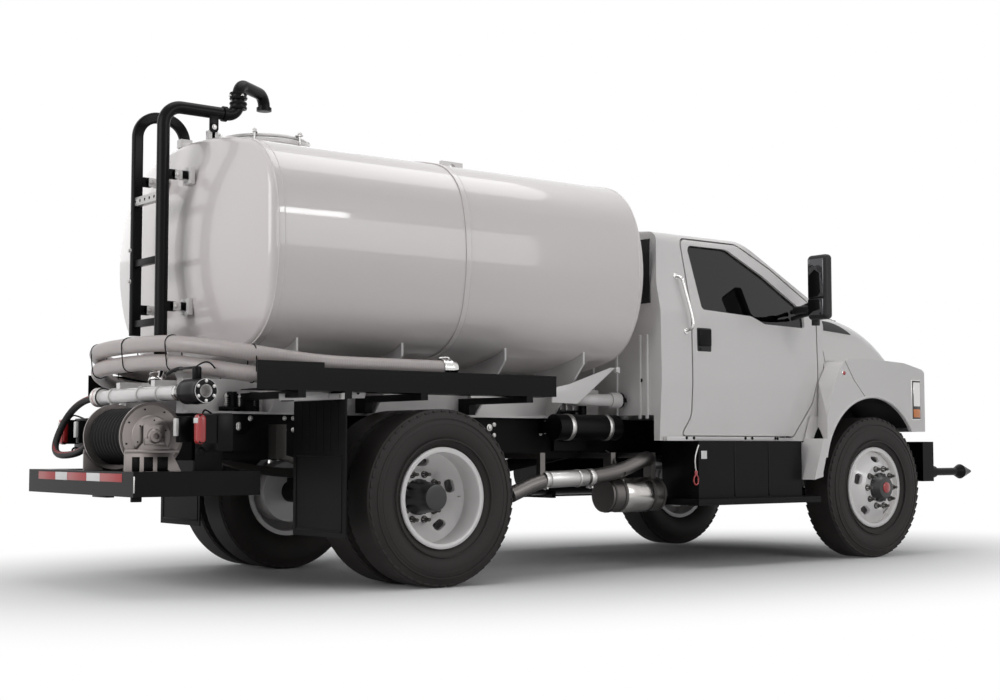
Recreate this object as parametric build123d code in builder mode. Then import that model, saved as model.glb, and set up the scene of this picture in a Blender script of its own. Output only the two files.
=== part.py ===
from build123d import *
import os
from math import cos, pi, radians, sin, tan

os.makedirs("parts", exist_ok=True)

# Water truck with a short cab, a tilting hood and a rounded tank on two axles.
# Millimetres, +X ahead, +Y to the left, +Z up. The origin is on the ground, half way
# between the tips of the front spray heads and the face of the rear bumper.

# Wheels and where they stand
wheelbase = 4013
rear_overhang = 1763
front_reach = 1300
tyre_radius = 525
tyre_width = 280
front_tyre_y = 1036
rear_tyre_y = 1063
dual_spacing = 318
front_axle_x = (wheelbase + rear_overhang - front_reach) / 2
rear_axle_x = front_axle_x - wheelbase
axle_z = tyre_radius

# Clearances that every fit shares
seat_gap = 0.3
running_gap = 0.3
panel_gap = 9
overrun = 40
arc_share = 0.45

# Ladder frame
rail_outer_y = 432
rail_height = 272
rail_flange = 80
rail_wall = 10
rail_top_z = 1020
rail_front_reach = 600
rail_rear_overhang = 175
rail_bottom_z = rail_top_z - rail_height
rail_front_x = front_axle_x + rail_front_reach

# Cab
cab_back_setback = 2060
cab_front_setback = 290
cab_half_width = 1005
cab_bottom_z = 870
cab_height = 1535
cab_wall = 55
cab_back_x = front_axle_x - cab_back_setback
cab_front_x = front_axle_x - cab_front_setback
cab_length = cab_front_x - cab_back_x
cab_top_z = cab_bottom_z + cab_height

# Tank
tank_front_setback = 2115
tank_length = 3095
tank_width = 2060
tank_height = 1380
tank_centre_z = 2010
tank_corner_radius = 400
tank_head_depth = 120
tank_front_x = front_axle_x - tank_front_setback
tank_rear_x = tank_front_x - tank_length
rail_rear_x = tank_rear_x - rail_rear_overhang
rail_length = rail_front_x - rail_rear_x


def span(low, high):
    """Middle and length of a range."""
    return (low + high) / 2, high - low


def block(x_range, y_range, z_range, mode=Mode.ADD):
    """Put a block between three ranges into the part that is being built."""
    (x, length), (y, width), (z, height) = span(*x_range), span(*y_range), span(*z_range)
    with Locations((x, y, z)):
        Box(length, width, height, mode=mode)


def pair_block(x_range, y_range, z_range, mode=Mode.ADD):
    """The same block on the left and on the right."""
    low, high = y_range
    block(x_range, (low, high), z_range, mode)
    block(x_range, (-high, -low), z_range, mode)


def rod(start, end, radius, mode=Mode.ADD):
    """Put a round bar between two points into the part that is being built."""
    start, end = Vector(*start), Vector(*end)
    with BuildSketch(Plane(origin=start, z_dir=end - start)) as disc:
        Circle(radius)
    extrude(disc.sketch, amount=(end - start).length, mode=mode)


def cone(start, end, start_radius, end_radius):
    """Put a round taper between two points into the part that is being built."""
    start, end = Vector(*start), Vector(*end)
    direction = end - start
    with BuildSketch(Plane(origin=start, z_dir=direction)) as first:
        Circle(start_radius)
    with BuildSketch(Plane(origin=end, z_dir=direction)) as last:
        Circle(end_radius)
    loft([first.sketch, last.sketch])


def tube(points, radii, outer, inner=0):
    """Put a bent pipe along straight runs and arcs into the part that is being built."""
    with BuildLine() as route:
        FilletPolyline(*points, radius=radii)
    start = Plane(origin=route.line @ 0, z_dir=route.line % 0)
    with BuildSketch(start) as ring:
        Circle(outer)
        if inner:
            Circle(inner, mode=Mode.SUBTRACT)
    sweep(ring.sketch, path=route.line)
    return sum(edge.length for edge in route.edges())


def plate(plane, points, thickness, mode=Mode.ADD, both=False):
    """Put a flat plate of any straight outline, drawn on a plane, into the part that is being built."""
    with BuildSketch(plane) as outline:
        with BuildLine():
            Polyline(*points, close=True)
        make_face()
    extrude(outline.sketch, amount=thickness, mode=mode, both=both)


def route_radii(points):
    """Largest arc that each corner of a route has room for."""
    radii = []
    for before, corner, after in zip(points, points[1:], points[2:]):
        first = Vector(*corner) - Vector(*before)
        second = Vector(*after) - Vector(*corner)
        half_turn = radians(first.get_angle(second)) / 2
        radii.append(arc_share * min(first.length, second.length) / tan(half_turn))
    return radii


def save(name, part):
    """Label a finished piece and write it."""
    part.label = name
    export_step(part, "parts/" + name + ".step")


def mirrored(builder):
    """The same piece for the other side of the truck."""
    with BuildPart() as other:
        mirror(builder.part, about=Plane.XZ)
    return other


# Ladder frame: two channel rails with their open sides inwards, and cross channels
crossmember_shares = (0.02, 0.24, 0.44, 0.58, 0.83, 0.985)
crossmember_length = 90
crossmember_wall = 10
engine_bay_cross_drop = 190

with BuildPart() as chassis_frame:
    with BuildSketch(Plane.YZ.offset(rail_rear_x)):
        with Locations((rail_outer_y - rail_flange / 2, rail_top_z - rail_height / 2)):
            Rectangle(rail_flange, rail_height)
        with Locations((rail_outer_y - rail_wall - rail_flange / 2, rail_top_z - rail_height / 2)):
            Rectangle(rail_flange, rail_height - 2 * rail_wall, mode=Mode.SUBTRACT)
        mirror(about=Plane.YZ)
    extrude(amount=rail_length)
    for number, share in enumerate(crossmember_shares):
        x = rail_front_x - share * rail_length
        top = rail_top_z - rail_wall - (engine_bay_cross_drop if number < 2 else 0)
        bottom = max(rail_bottom_z + rail_wall, top - crossmember_length)
        reach = (-rail_outer_y + rail_wall, rail_outer_y - rail_wall)
        ends = (x - crossmember_length / 2, x + crossmember_length / 2)
        block(ends, reach, (bottom, bottom + crossmember_wall))
        block((ends[0], ends[0] + crossmember_wall), reach, (bottom, top))
save("chassis_frame", chassis_frame.part)

# Wheels. The tyre section is in shares of half the tyre's width and of its wall height.
rim_seat_radius = 283
rim_flange_radius = 299
rim_flange = 14
rim_wall = 12
disc_wall = 14
disc_attach = 60
disc_flat_radius = 166
hub_pilot_radius = 110
hub_radius = 104
hub_taper_share = 0.72
nut_circle_radius = 143
nut_radius = 17
nut_height = 24
nut_count = 10
hand_hole_count = 5
hand_hole_circle_radius = 208
hand_hole_length = 84
hand_hole_width = 44
spindle_radius = 38
drum_radius = 205
front_drum_length = 115
rear_drum_length = 150
front_cap_length = 62
rear_cap_length = 190
tyre_section_shares = (
    # share of the half width, share of the wall height
    (0.72, 0.00),
    (0.72, 0.09),
    (0.99, 0.45),
    (0.97, 0.72),
    (0.84, 0.95),
    (0.74, 1.00),
)

# Steering: the kingpin eye, the ears of the knuckle round it and the web that carries the spindle
knuckle_y = 890
eye_radius = 45
eye_height = 110
ear_thickness = 32
ear_gap = 5.5
web_thickness = 16
web_radius = 120

front_disc_y = front_tyre_y + dual_spacing / 2
rear_inner_tyre_y = rear_tyre_y - dual_spacing
rear_disc_y = (rear_tyre_y + rear_inner_tyre_y) / 2
web_inner_y = knuckle_y + eye_radius + ear_gap
front_hub_inner_y = web_inner_y + web_thickness + ear_gap
rear_hub_inner_y = rear_inner_tyre_y - tyre_width / 2
spindle_end_gap = 30
bead_half_width = tyre_width / 2 * tyre_section_shares[0][0]


def tyre():
    """One tyre, turned about its axle, with round walls and a nearly flat crown."""
    half = tyre_width / 2
    wall = tyre_radius - rim_seat_radius
    right = [(share_y * half, rim_seat_radius + share_z * wall) for share_y, share_z in tyre_section_shares]
    left = [(-y, z) for y, z in right]
    with BuildSketch(Plane.YZ) as section:
        with BuildLine():
            Polyline(right[0], right[1])
            ThreePointArc(right[1], right[2], right[3])
            Polyline(right[3], right[4], right[5], left[5], left[4], left[3])
            ThreePointArc(left[3], left[2], left[1])
            Polyline(left[1], left[0], right[0])
        make_face()
    revolve(section.sketch, axis=Axis.Y)


def wheel(facing):
    """A rim and its disc, whose bolting face lies half the twin spacing to one side of the rim."""
    half = bead_half_width + seat_gap
    seat = rim_seat_radius - seat_gap
    inner = seat - rim_wall
    rim = (
        (-half - rim_flange, inner),
        (-half - rim_flange, rim_flange_radius),
        (-half, rim_flange_radius),
        (-half, seat),
        (half, seat),
        (half, rim_flange_radius),
        (half + rim_flange, rim_flange_radius),
        (half + rim_flange, inner),
    )
    with BuildSketch(Plane.YZ) as rim_section:
        with BuildLine():
            Polyline(*rim, close=True)
        make_face()
    revolve(rim_section.sketch, axis=Axis.Y)
    face = facing * dual_spacing / 2
    back = face - facing * disc_wall
    attach = facing * disc_attach
    with BuildSketch(Plane.YZ) as disc_section:
        with BuildLine():
            Polyline(
                (face, hub_pilot_radius),
                (face, disc_flat_radius),
                (attach + facing * disc_wall, inner),
                (attach - facing * disc_wall, inner),
                (back, disc_flat_radius - disc_wall),
                (back, hub_pilot_radius),
                close=True,
            )
        make_face()
    revolve(disc_section.sketch, axis=Axis.Y)
    with BuildSketch(Plane.XZ) as holes:
        with PolarLocations(hand_hole_circle_radius, hand_hole_count, start_angle=90):
            SlotOverall(hand_hole_length, hand_hole_width, rotation=90)
    extrude(holes.sketch, amount=tyre_width, both=True, mode=Mode.SUBTRACT)


def hub(disc_y, inner_y, drum_length, cap_length):
    """Hub with its cap, wheel nuts and brake drum, bored from its inner end for the spindle."""
    cap_y = disc_y + cap_length
    rod((0, inner_y, 0), (0, disc_y, 0), hub_pilot_radius)
    cone((0, disc_y, 0), (0, cap_y, 0), hub_radius, hub_radius * hub_taper_share)
    with BuildSketch(Plane.XZ.offset(-disc_y)) as nuts:
        with PolarLocations(nut_circle_radius, nut_count):
            RegularPolygon(nut_radius, 6)
    extrude(nuts.sketch, amount=-nut_height)
    rod((0, inner_y, 0), (0, inner_y + drum_length, 0), drum_radius)
    rod((0, inner_y - overrun, 0), (0, disc_y - spindle_end_gap, 0), spindle_radius + running_gap,
        Mode.SUBTRACT)


with BuildPart() as tyre_form:
    tyre()
with BuildPart() as outward_wheel:
    wheel(1)
with BuildPart() as inward_wheel:
    wheel(-1)

with BuildPart() as front_tyre_left:
    with Locations((front_axle_x, front_tyre_y, axle_z)):
        add(tyre_form.part)
with BuildPart() as front_wheel_core:
    with Locations((0, front_tyre_y, 0)):
        add(outward_wheel.part)
    hub(front_disc_y, front_hub_inner_y, front_drum_length, front_cap_length)
with BuildPart() as front_wheel_left:
    with Locations((front_axle_x, 0, axle_z)):
        add(front_wheel_core.part)

with BuildPart() as rear_tyres_left:
    with Locations((rear_axle_x, rear_tyre_y, axle_z), (rear_axle_x, rear_inner_tyre_y, axle_z)):
        add(tyre_form.part)
with BuildPart() as rear_wheel_core:
    with Locations((0, rear_tyre_y, 0)):
        add(inward_wheel.part)
    with Locations((0, rear_inner_tyre_y, 0)):
        add(outward_wheel.part)
    hub(rear_disc_y + disc_wall, rear_hub_inner_y, rear_drum_length, rear_cap_length)
with BuildPart() as rear_wheels_left:
    with Locations((rear_axle_x, 0, axle_z)):
        add(rear_wheel_core.part)

for name, left in (
    ("front_tyre", front_tyre_left),
    ("front_wheel", front_wheel_left),
    ("rear_tyres", rear_tyres_left),
    ("rear_wheels", rear_wheels_left),
):
    save(name + "_left", left.part)
    save(name + "_right", mirrored(left).part)

with BuildPart() as knuckle_left:
    top = axle_z + eye_height / 2 + ear_gap
    bottom = axle_z - eye_height / 2 - ear_gap
    web_outer_y = web_inner_y + web_thickness
    for low, high in ((top, top + ear_thickness), (bottom - ear_thickness, bottom)):
        rod((front_axle_x, knuckle_y, low), (front_axle_x, knuckle_y, high), eye_radius)
        block((front_axle_x - eye_radius, front_axle_x + eye_radius), (knuckle_y, web_outer_y), (low, high))
    rod((front_axle_x, web_inner_y, axle_z), (front_axle_x, web_outer_y, axle_z), web_radius)
    spindle_end_y = front_disc_y - 2 * spindle_end_gap
    rod((front_axle_x, web_inner_y, axle_z), (front_axle_x, spindle_end_y, axle_z), spindle_radius)
save("knuckle_left", knuckle_left.part)
save("knuckle_right", mirrored(knuckle_left).part)

# Springs: each pack is a bow between two arcs, held by a hanger at each end
spring_width = 76
spring_pack_height = 62
spring_tip_height = 16
front_spring_y = 392
front_spring_half_length = 560
front_spring_eye_z = 655
rear_spring_y = rail_outer_y + spring_width / 2 + 18
rear_spring_half_length = 720
rear_spring_eye_z = 770
hanger_length = 70
hanger_height = 190
front_beam_half_width = 48
front_beam_height = 92
front_beam_drop = 60
rear_tube_radius = 72
spring_seat_height = 24

front_beam_z = axle_z - front_beam_drop
front_seat_z = front_beam_z + front_beam_height / 2
rear_seat_z = axle_z + rear_tube_radius + spring_seat_height


def spring(centre_x, y, half_length, eye_z, seat_z):
    """One leaf pack: it lies on its axle seat and its tips rise to the eyes."""
    ends = (centre_x - half_length, centre_x + half_length)
    low = seat_z + seat_gap
    with BuildSketch(Plane.XZ.offset(-y + spring_width / 2)) as bow:
        with BuildLine():
            ThreePointArc((ends[0], eye_z), (centre_x, low), (ends[1], eye_z))
            Line((ends[1], eye_z), (ends[1], eye_z + spring_tip_height))
            ThreePointArc((ends[1], eye_z + spring_tip_height), (centre_x, low + spring_pack_height),
                          (ends[0], eye_z + spring_tip_height))
            Line((ends[0], eye_z + spring_tip_height), (ends[0], eye_z))
        make_face()
    extrude(bow.sketch, amount=-spring_width)


with BuildPart() as leaf_springs:
    for side in (-1, 1):
        spring(front_axle_x, side * front_spring_y, front_spring_half_length, front_spring_eye_z, front_seat_z)
        spring(rear_axle_x, side * rear_spring_y, rear_spring_half_length, rear_spring_eye_z, rear_seat_z)
        for end in (-1, 1):
            x = front_axle_x + end * front_spring_half_length
            y = side * front_spring_y
            block((x - hanger_length / 2, x + hanger_length / 2), (y - spring_width / 2, y + spring_width / 2),
                  (front_spring_eye_z - spring_tip_height, rail_bottom_z - seat_gap))
            x = rear_axle_x + end * rear_spring_half_length
            y_range = sorted((side * (rail_outer_y + seat_gap), side * (rear_spring_y + spring_width / 2)))
            block((x - hanger_length / 2, x + hanger_length / 2), y_range,
                  (rear_spring_eye_z - spring_tip_height, rear_spring_eye_z + hanger_height))
save("leaf_springs", leaf_springs.part)

# Axles
diff_radius = 195
diff_half_length = 120
pinion_length = 330
pinion_radius = 62
rear_spindle_gap = 6

with BuildPart() as front_axle:
    beam_half = front_spring_y + spring_width
    block((front_axle_x - front_beam_half_width, front_axle_x + front_beam_half_width), (-beam_half, beam_half),
          (front_beam_z - front_beam_height / 2, front_seat_z))
    for side in (-1, 1):
        rod((front_axle_x, side * (beam_half - eye_radius / 3), front_beam_z),
            (front_axle_x, side * (knuckle_y - eye_radius / 2), axle_z), eye_radius)
        rod((front_axle_x, side * knuckle_y, axle_z - eye_height / 2),
            (front_axle_x, side * knuckle_y, axle_z + eye_height / 2), eye_radius)
save("front_axle", front_axle.part)

with BuildPart() as rear_axle:
    tube_end = rear_hub_inner_y - rear_spindle_gap
    rod((rear_axle_x, -tube_end, axle_z), (rear_axle_x, tube_end, axle_z), rear_tube_radius)
    rod((rear_axle_x, -rear_disc_y + spindle_end_gap, axle_z), (rear_axle_x, rear_disc_y - spindle_end_gap, axle_z),
        spindle_radius)
    cone((rear_axle_x - diff_half_length, 0, axle_z), (rear_axle_x, 0, axle_z),
         diff_radius - front_beam_half_width, diff_radius)
    cone((rear_axle_x, 0, axle_z), (rear_axle_x + pinion_length, 0, axle_z), diff_radius, pinion_radius)
    for side in (-1, 1):
        y = side * rear_spring_y
        block((rear_axle_x - rear_tube_radius, rear_axle_x + rear_tube_radius),
              (y - spring_width / 2, y + spring_width / 2), (axle_z, rear_seat_z))
save("rear_axle", rear_axle.part)

# Engine and gearbox as one plain mass between the rails, on two feet
engine_half_width = 290
engine_rear_setback = 250
engine_length = 680
engine_bottom_z = 830
engine_top_z = 1400
gearbox_half_width = 190
gearbox_length = 950
gearbox_top_z = 1012
engine_foot_length = 110
engine_foot_height = 60

engine_x = front_axle_x - engine_rear_setback
gearbox_x = engine_x - gearbox_length
with BuildPart() as engine:
    block((engine_x, engine_x + engine_length), (-engine_half_width, engine_half_width),
          (engine_bottom_z, engine_top_z))
    block((gearbox_x, engine_x), (-gearbox_half_width, gearbox_half_width), (engine_bottom_z, gearbox_top_z))
    foot_half = rail_outer_y - rail_flange - seat_gap
    middle_x = engine_x + engine_length / 2
    block((middle_x - engine_foot_length / 2, middle_x + engine_foot_length / 2), (-foot_half, foot_half),
          (engine_bottom_z, engine_bottom_z + engine_foot_height))
save("engine", engine.part)

# Drive shaft from the gearbox to the pinion, with a yoke at each end
shaft_radius = 45
yoke_radius = 58
yoke_length = 90
with BuildPart() as driveshaft:
    front_end = Vector(gearbox_x - seat_gap, 0, (engine_bottom_z + gearbox_top_z) / 2)
    rear_end = Vector(rear_axle_x + pinion_length + seat_gap, 0, axle_z)
    front_yoke = front_end - Vector(yoke_length, 0, 0)
    rear_yoke = rear_end + Vector(yoke_length, 0, 0)
    rod(front_end, front_yoke, yoke_radius)
    rod(rear_end, rear_yoke, yoke_radius)
    rod(front_yoke + Vector(yoke_length / 2, 0, 0), rear_yoke - Vector(yoke_length / 2, 0, 0), shaft_radius)
save("driveshaft", driveshaft.part)

# Cab. The whole outside is one form, cut by a side view, a front view and a plan; every
# panel, door and pane is what lies between two such forms, so they all share its curves.
cab_side_view_shares = (
    # share of the cab's length from its back, share of its height, corner radius share of its height
    (0.000, 0.000, 0.00),
    (0.000, 0.704, 0.20),
    (0.054, 0.993, 0.07),
    (0.458, 0.984, 0.10),
    (0.977, 0.629, 0.03),
    (1.000, 0.560, 0.03),
    (1.000, 0.000, 0.00),
)
cab_front_view_shares = (
    # share of the half width, share of the height, corner radius share of the height
    (0.975, 0.000, 0.00),
    (1.000, 0.270, 0.60),
    (0.992, 0.580, 0.18),
    (0.868, 0.945, 0.07),
    (0.000, 1.005, 1.60),
)
cab_nose_sweep = 110
cab_rear_corner_radius = 105
glass_depth = 20
glass_thickness = 6
roof_seam_share = 0.930
underfloor_half_width = 925
fender_inner_y = 700
arch_radius = 540
arch_centre_x = front_axle_x - 20
arch_centre_z = 655
floor_top_z = 1085
floor_thickness = 40
sill_thickness = 18


def cab_form(inset):
    """The cab's outside, drawn in by inset all round."""
    with BuildPart() as form:
        with BuildSketch(Plane.XZ) as side_view:
            with BuildLine():
                corners = [(cab_back_x + a * cab_length, cab_bottom_z + b * cab_height)
                           for a, b, c in cab_side_view_shares]
                FilletPolyline(*corners, radius=[c * cab_height for a, b, c in cab_side_view_shares], close=True)
            make_face()
            offset(amount=-inset)
        extrude(side_view.sketch, amount=2 * cab_half_width, both=True)
        with BuildSketch(Plane.YZ) as front_view:
            with BuildLine():
                left = [(a * cab_half_width, cab_bottom_z + b * cab_height, c * cab_height)
                        for a, b, c in cab_front_view_shares]
                around = left + [(-a, b, c) for a, b, c in reversed(left[:-1])]
                FilletPolyline(*[(a, b) for a, b, c in around], radius=[c for a, b, c in around], close=True)
            make_face()
            offset(amount=-inset)
        extrude(front_view.sketch, amount=2 * (abs(cab_front_x) + cab_length), both=True, mode=Mode.INTERSECT)
        with BuildSketch(Plane.XY) as plan:
            with BuildLine():
                side_x = cab_front_x - cab_nose_sweep
                wide = cab_half_width + overrun
                ThreePointArc((side_x, wide), (cab_front_x, 0), (side_x, -wide))
                Polyline((side_x, -wide), (cab_back_x, -wide), (cab_back_x, wide), (side_x, wide))
            make_face()
            offset(amount=-inset)
        extrude(plan.sketch, amount=2 * cab_top_z, both=True, mode=Mode.INTERSECT)
    return form.part


def cut_by_outline(shares, inset, mode):
    """Cut or keep what a side-view outline in shares of the cab covers, on the right-hand side."""
    with BuildSketch(Plane.XZ.offset(door_inner_y)) as outline:
        with BuildLine():
            corners = [(cab_back_x + a * cab_length, cab_bottom_z + b * cab_height) for a, b, c in shares]
            FilletPolyline(*corners, radius=[c * cab_length for a, b, c in shares], close=True)
        make_face()
        if inset:
            offset(amount=-inset)
    extrude(outline.sketch, amount=cab_half_width, mode=mode)


door_inner_y = 770
door_gap = 13
door_hinge_x = front_axle_x - 472
door_hinge_y = 1000
door_opening = 60
door_outline_shares = (
    # share of the cab's length from its back, share of its height, corner radius share of the length
    (0.119, 0.023, 0.010),
    (0.171, 0.110, 0.080),
    (0.171, 0.922, 0.030),
    (0.486, 0.922, 0.040),
    (0.667, 0.818, 0.100),
    (0.900, 0.648, 0.020),
    (0.904, 0.300, 0.100),
    (0.870, 0.180, 0.060),
    (0.760, 0.023, 0.020),
)
window_outline_shares = (
    (0.229, 0.597, 0.018),
    (0.200, 0.896, 0.025),
    (0.429, 0.896, 0.080),
    (0.621, 0.782, 0.060),
    (0.825, 0.632, 0.020),
    (0.831, 0.543, 0.010),
    (0.588, 0.549, 0.030),
    (0.508, 0.582, 0.030),
)
windshield_half_width_shares = (0.835, 0.745)
windshield_height_shares = (0.652, 0.912)
rear_window_half_width_share = 0.62
rear_window_height_shares = (0.635, 0.885)
pane_corner_radius = 60
rear_split_share = 0.30

outer_form = cab_form(0)
inner_form = cab_form(cab_wall)
pane_outer_form = cab_form(glass_depth)
pane_inner_form = cab_form(glass_depth + glass_thickness)
roof_seam_z = cab_bottom_z + roof_seam_share * cab_height


def windshield_cut(inset, mode):
    """Cut or keep the windshield's opening, seen from the front."""
    low, high = [cab_bottom_z + share * cab_height for share in windshield_height_shares]
    wide, narrow = [share * cab_half_width for share in windshield_half_width_shares]
    with BuildSketch(Plane.YZ.offset(cab_back_x + cab_length / 3)) as opening:
        with BuildLine():
            FilletPolyline((-wide, low), (wide, low), (narrow, high), (-narrow, high), radius=pane_corner_radius,
                           close=True)
        make_face()
        if inset:
            offset(amount=-inset)
    extrude(opening.sketch, amount=cab_length, mode=mode)


def rear_window_cut(inset, mode):
    """Cut or keep the rear window's opening, seen from behind."""
    low, high = [cab_bottom_z + share * cab_height for share in rear_window_height_shares]
    half = rear_window_half_width_share * cab_half_width
    with BuildSketch(Plane.YZ.offset(cab_back_x + 2 * cab_wall)) as opening:
        with Locations((0, (low + high) / 2)):
            RectangleRounded(2 * half, high - low, pane_corner_radius)
        if inset:
            offset(amount=-inset)
    extrude(opening.sketch, amount=-4 * cab_wall, mode=mode)


with BuildPart() as cab_shell:
    add(outer_form)
    add(inner_form, mode=Mode.SUBTRACT)
    block((cab_back_x - overrun, cab_front_x + overrun), (-underfloor_half_width, underfloor_half_width),
          (cab_bottom_z - overrun, floor_top_z - floor_thickness - seat_gap), Mode.SUBTRACT)
with BuildPart() as door_right:
    add(cab_shell.part)
    cut_by_outline(door_outline_shares, 0, Mode.INTERSECT)
    cut_by_outline(window_outline_shares, 0, Mode.SUBTRACT)
with BuildPart() as door_glass_right:
    add(pane_outer_form)
    add(pane_inner_form, mode=Mode.SUBTRACT)
    cut_by_outline(window_outline_shares, seat_gap, Mode.INTERSECT)
with BuildPart() as cab_open:
    add(cab_shell.part)
    cut_by_outline(door_outline_shares, -door_gap, Mode.SUBTRACT)
door_left = mirrored(door_right)
door_glass_left = mirrored(door_glass_right)
with BuildPart() as right_door_cut:
    add(outer_form)
    cut_by_outline(door_outline_shares, -door_gap, Mode.INTERSECT)
with BuildPart() as cab_frame:
    add(cab_open.part)
    add(mirrored(right_door_cut).part, mode=Mode.SUBTRACT)
    windshield_cut(0, Mode.SUBTRACT)
    rear_window_cut(0, Mode.SUBTRACT)

far = 2 * cab_half_width
split_x = cab_back_x + rear_split_share * cab_length
with BuildPart() as cab_roof:
    add(cab_frame.part)
    block((cab_back_x - overrun, cab_front_x + overrun), (-far, far), (roof_seam_z, cab_top_z + overrun),
          Mode.INTERSECT)
with BuildPart() as cab_back:
    add(cab_frame.part)
    block((cab_back_x - overrun, split_x), (-far, far), (cab_bottom_z - overrun, roof_seam_z), Mode.INTERSECT)
with BuildPart() as cab_front:
    add(cab_frame.part)
    block((split_x, cab_front_x + overrun), (-far, far), (cab_bottom_z - overrun, roof_seam_z), Mode.INTERSECT)
    for side in (-1, 1):
        rod((arch_centre_x, side * (fender_inner_y - overrun), arch_centre_z),
            (arch_centre_x, side * 2 * cab_half_width, arch_centre_z), arch_radius, Mode.SUBTRACT)
with BuildPart() as windshield:
    add(pane_outer_form)
    add(pane_inner_form, mode=Mode.SUBTRACT)
    windshield_cut(seat_gap, Mode.INTERSECT)
with BuildPart() as rear_window:
    add(pane_outer_form)
    add(pane_inner_form, mode=Mode.SUBTRACT)
    rear_window_cut(seat_gap, Mode.INTERSECT)

# Floor with the two sills that show under the doors, seated on the rails by four cushions
cushion_radius = 45
cushion_inset_shares = (0.12, 0.80)
sill_depth = 42
with BuildPart() as cab_floor:
    floor_front_x = cab_front_x - cab_nose_sweep - cab_wall
    block((cab_back_x + cab_wall + seat_gap, floor_front_x), (-underfloor_half_width + seat_gap,
          underfloor_half_width - seat_gap), (floor_top_z - floor_thickness, floor_top_z))
    door_rear_x = cab_back_x + (door_outline_shares[0][0]) * cab_length
    door_front_x = cab_back_x + (door_outline_shares[-1][0]) * cab_length
    sill_y = (underfloor_half_width - sill_depth, underfloor_half_width - panel_gap)
    pair_block((door_rear_x, door_front_x), sill_y, (cab_bottom_z, floor_top_z - floor_thickness))
    for share in cushion_inset_shares:
        x = cab_back_x + share * cab_length
        for side in (-1, 1):
            y = side * (rail_outer_y - cushion_radius)
            rod((x, y, rail_top_z + seat_gap), (x, y, floor_top_z - floor_thickness), cushion_radius - rail_wall)

for name, piece in (
    ("cab_roof", cab_roof),
    ("cab_back", cab_back),
    ("cab_front", cab_front),
    ("cab_floor", cab_floor),
    ("windshield", windshield),
    ("rear_window", rear_window),
    ("door_right", door_right),
    ("door_left", door_left),
    ("door_glass_right", door_glass_right),
    ("door_glass_left", door_glass_left),
):
    save(name, piece.part)

# Bench seat, instrument panel and steering wheel
seat_half_width = 690
seat_front_share = 0.52
seat_back_share = 0.10
seat_base_height = 330
seat_cushion_drop = 20
seat_back_height = 620
seat_back_thickness = 150
seat_rounding = 45
panel_half_width = 880
panel_depth = 250
panel_low_share = 0.35
panel_high_share = 0.53
steering_wheel_radius = 215
steering_rim_radius = 16
steering_wheel_y = 430
steering_wheel_tilt = 28
steering_column_radius = 30
spoke_count = 3

with BuildPart() as bench_seat:
    back_x = cab_back_x + seat_back_share * cab_length
    front_x = cab_back_x + seat_front_share * cab_length
    low = floor_top_z + seat_gap
    high = low + seat_base_height + seat_back_height
    with BuildSketch(Plane.XZ) as seat_side:
        with BuildLine():
            FilletPolyline(
                (back_x + seat_back_thickness, low), (front_x, low), (front_x, low + seat_base_height),
                (back_x + 2 * seat_back_thickness, low + seat_base_height - seat_cushion_drop),
                (back_x + seat_back_thickness, high), (back_x, high), (back_x + seat_rounding, low + seat_rounding),
                radius=seat_rounding, close=True)
        make_face()
    extrude(seat_side.sketch, amount=seat_half_width, both=True)
save("bench_seat", bench_seat.part)

with BuildPart() as dashboard:
    low = cab_bottom_z + panel_low_share * cab_height
    high = cab_bottom_z + panel_high_share * cab_height
    front_x = cab_front_x - cab_nose_sweep - cab_wall - seat_gap
    with BuildSketch(Plane.XZ) as panel_side:
        with BuildLine():
            FilletPolyline((front_x, low), (front_x, high), (front_x - panel_depth / 2, high),
                           (front_x - panel_depth, high - panel_depth / 3),
                           (front_x - panel_depth * 2 / 3, low), radius=panel_depth / 8, close=True)
        make_face()
    extrude(panel_side.sketch, amount=panel_half_width, both=True)
    column_start = Vector(front_x - panel_depth * 2 / 3, steering_wheel_y, (low + high) / 2)
    lean = radians(steering_wheel_tilt)
    column_end = column_start + Vector(-cos(lean), 0, sin(lean)) * panel_depth
    rod(column_start, column_end, steering_column_radius)
    wheel_plane = Plane(origin=column_end, z_dir=column_end - column_start)
    with BuildSketch(wheel_plane) as rim:
        Circle(steering_wheel_radius + steering_rim_radius)
        Circle(steering_wheel_radius - steering_rim_radius, mode=Mode.SUBTRACT)
    extrude(rim.sketch, amount=steering_rim_radius, both=True)
    for spoke in range(spoke_count):
        turn = 2 * pi * spoke / spoke_count
        reach = wheel_plane.x_dir * cos(turn) + wheel_plane.y_dir * sin(turn)
        rod(column_end, column_end + reach * steering_wheel_radius, steering_rim_radius / 2)
save("dashboard", dashboard.part)

# Hood, grille, lamps and the fixed rear panels of the fenders. The nose is one form as well:
# a lofted bonnet and two fender boxes, closed in front by the plan's curve.
hood_rear_x = front_axle_x - 420
hood_front_x = front_axle_x + 760
# The bonnet's three sections, from the cowl to the nose
bonnet_along_shares = (0.00, 0.56, 1.00)
bonnet_half_shares = (0.985, 0.860, 0.720)
bonnet_crown_zs = (1850, 1790, 1590)
bonnet_edge_zs = (1800, 1715, 1500)
bonnet_floor_z = 900
bonnet_corner_radius = 90
hood_wall = 26
nose_bottom_z = 945
arch_foot = ((-604, 550), (-604, 640), (-556, 800))
door_foot_z = 888
door_swing_run = 170
ninety = 90
nose_sweep = 170
fender_outer_y = 1170
fender_rear_x = front_axle_x - 700
fender_length = 1360
fender_low_z = 590
fender_height = 900
fender_outline_shares = (
    # share of the fender's length from its rear, share of its height, corner radius share of the height
    (0.000, 0.000, 0.00),
    (0.062, 0.267, 0.20),
    (0.099, 0.456, 0.30),
    (0.169, 0.783, 0.30),
    (0.257, 0.985, 0.14),
    (0.441, 1.000, 0.60),
    (0.772, 0.978, 0.30),
    (0.945, 0.925, 0.10),
    (1.060, 0.700, 0.20),
    (1.075, 0.350, 0.03),
)
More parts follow.
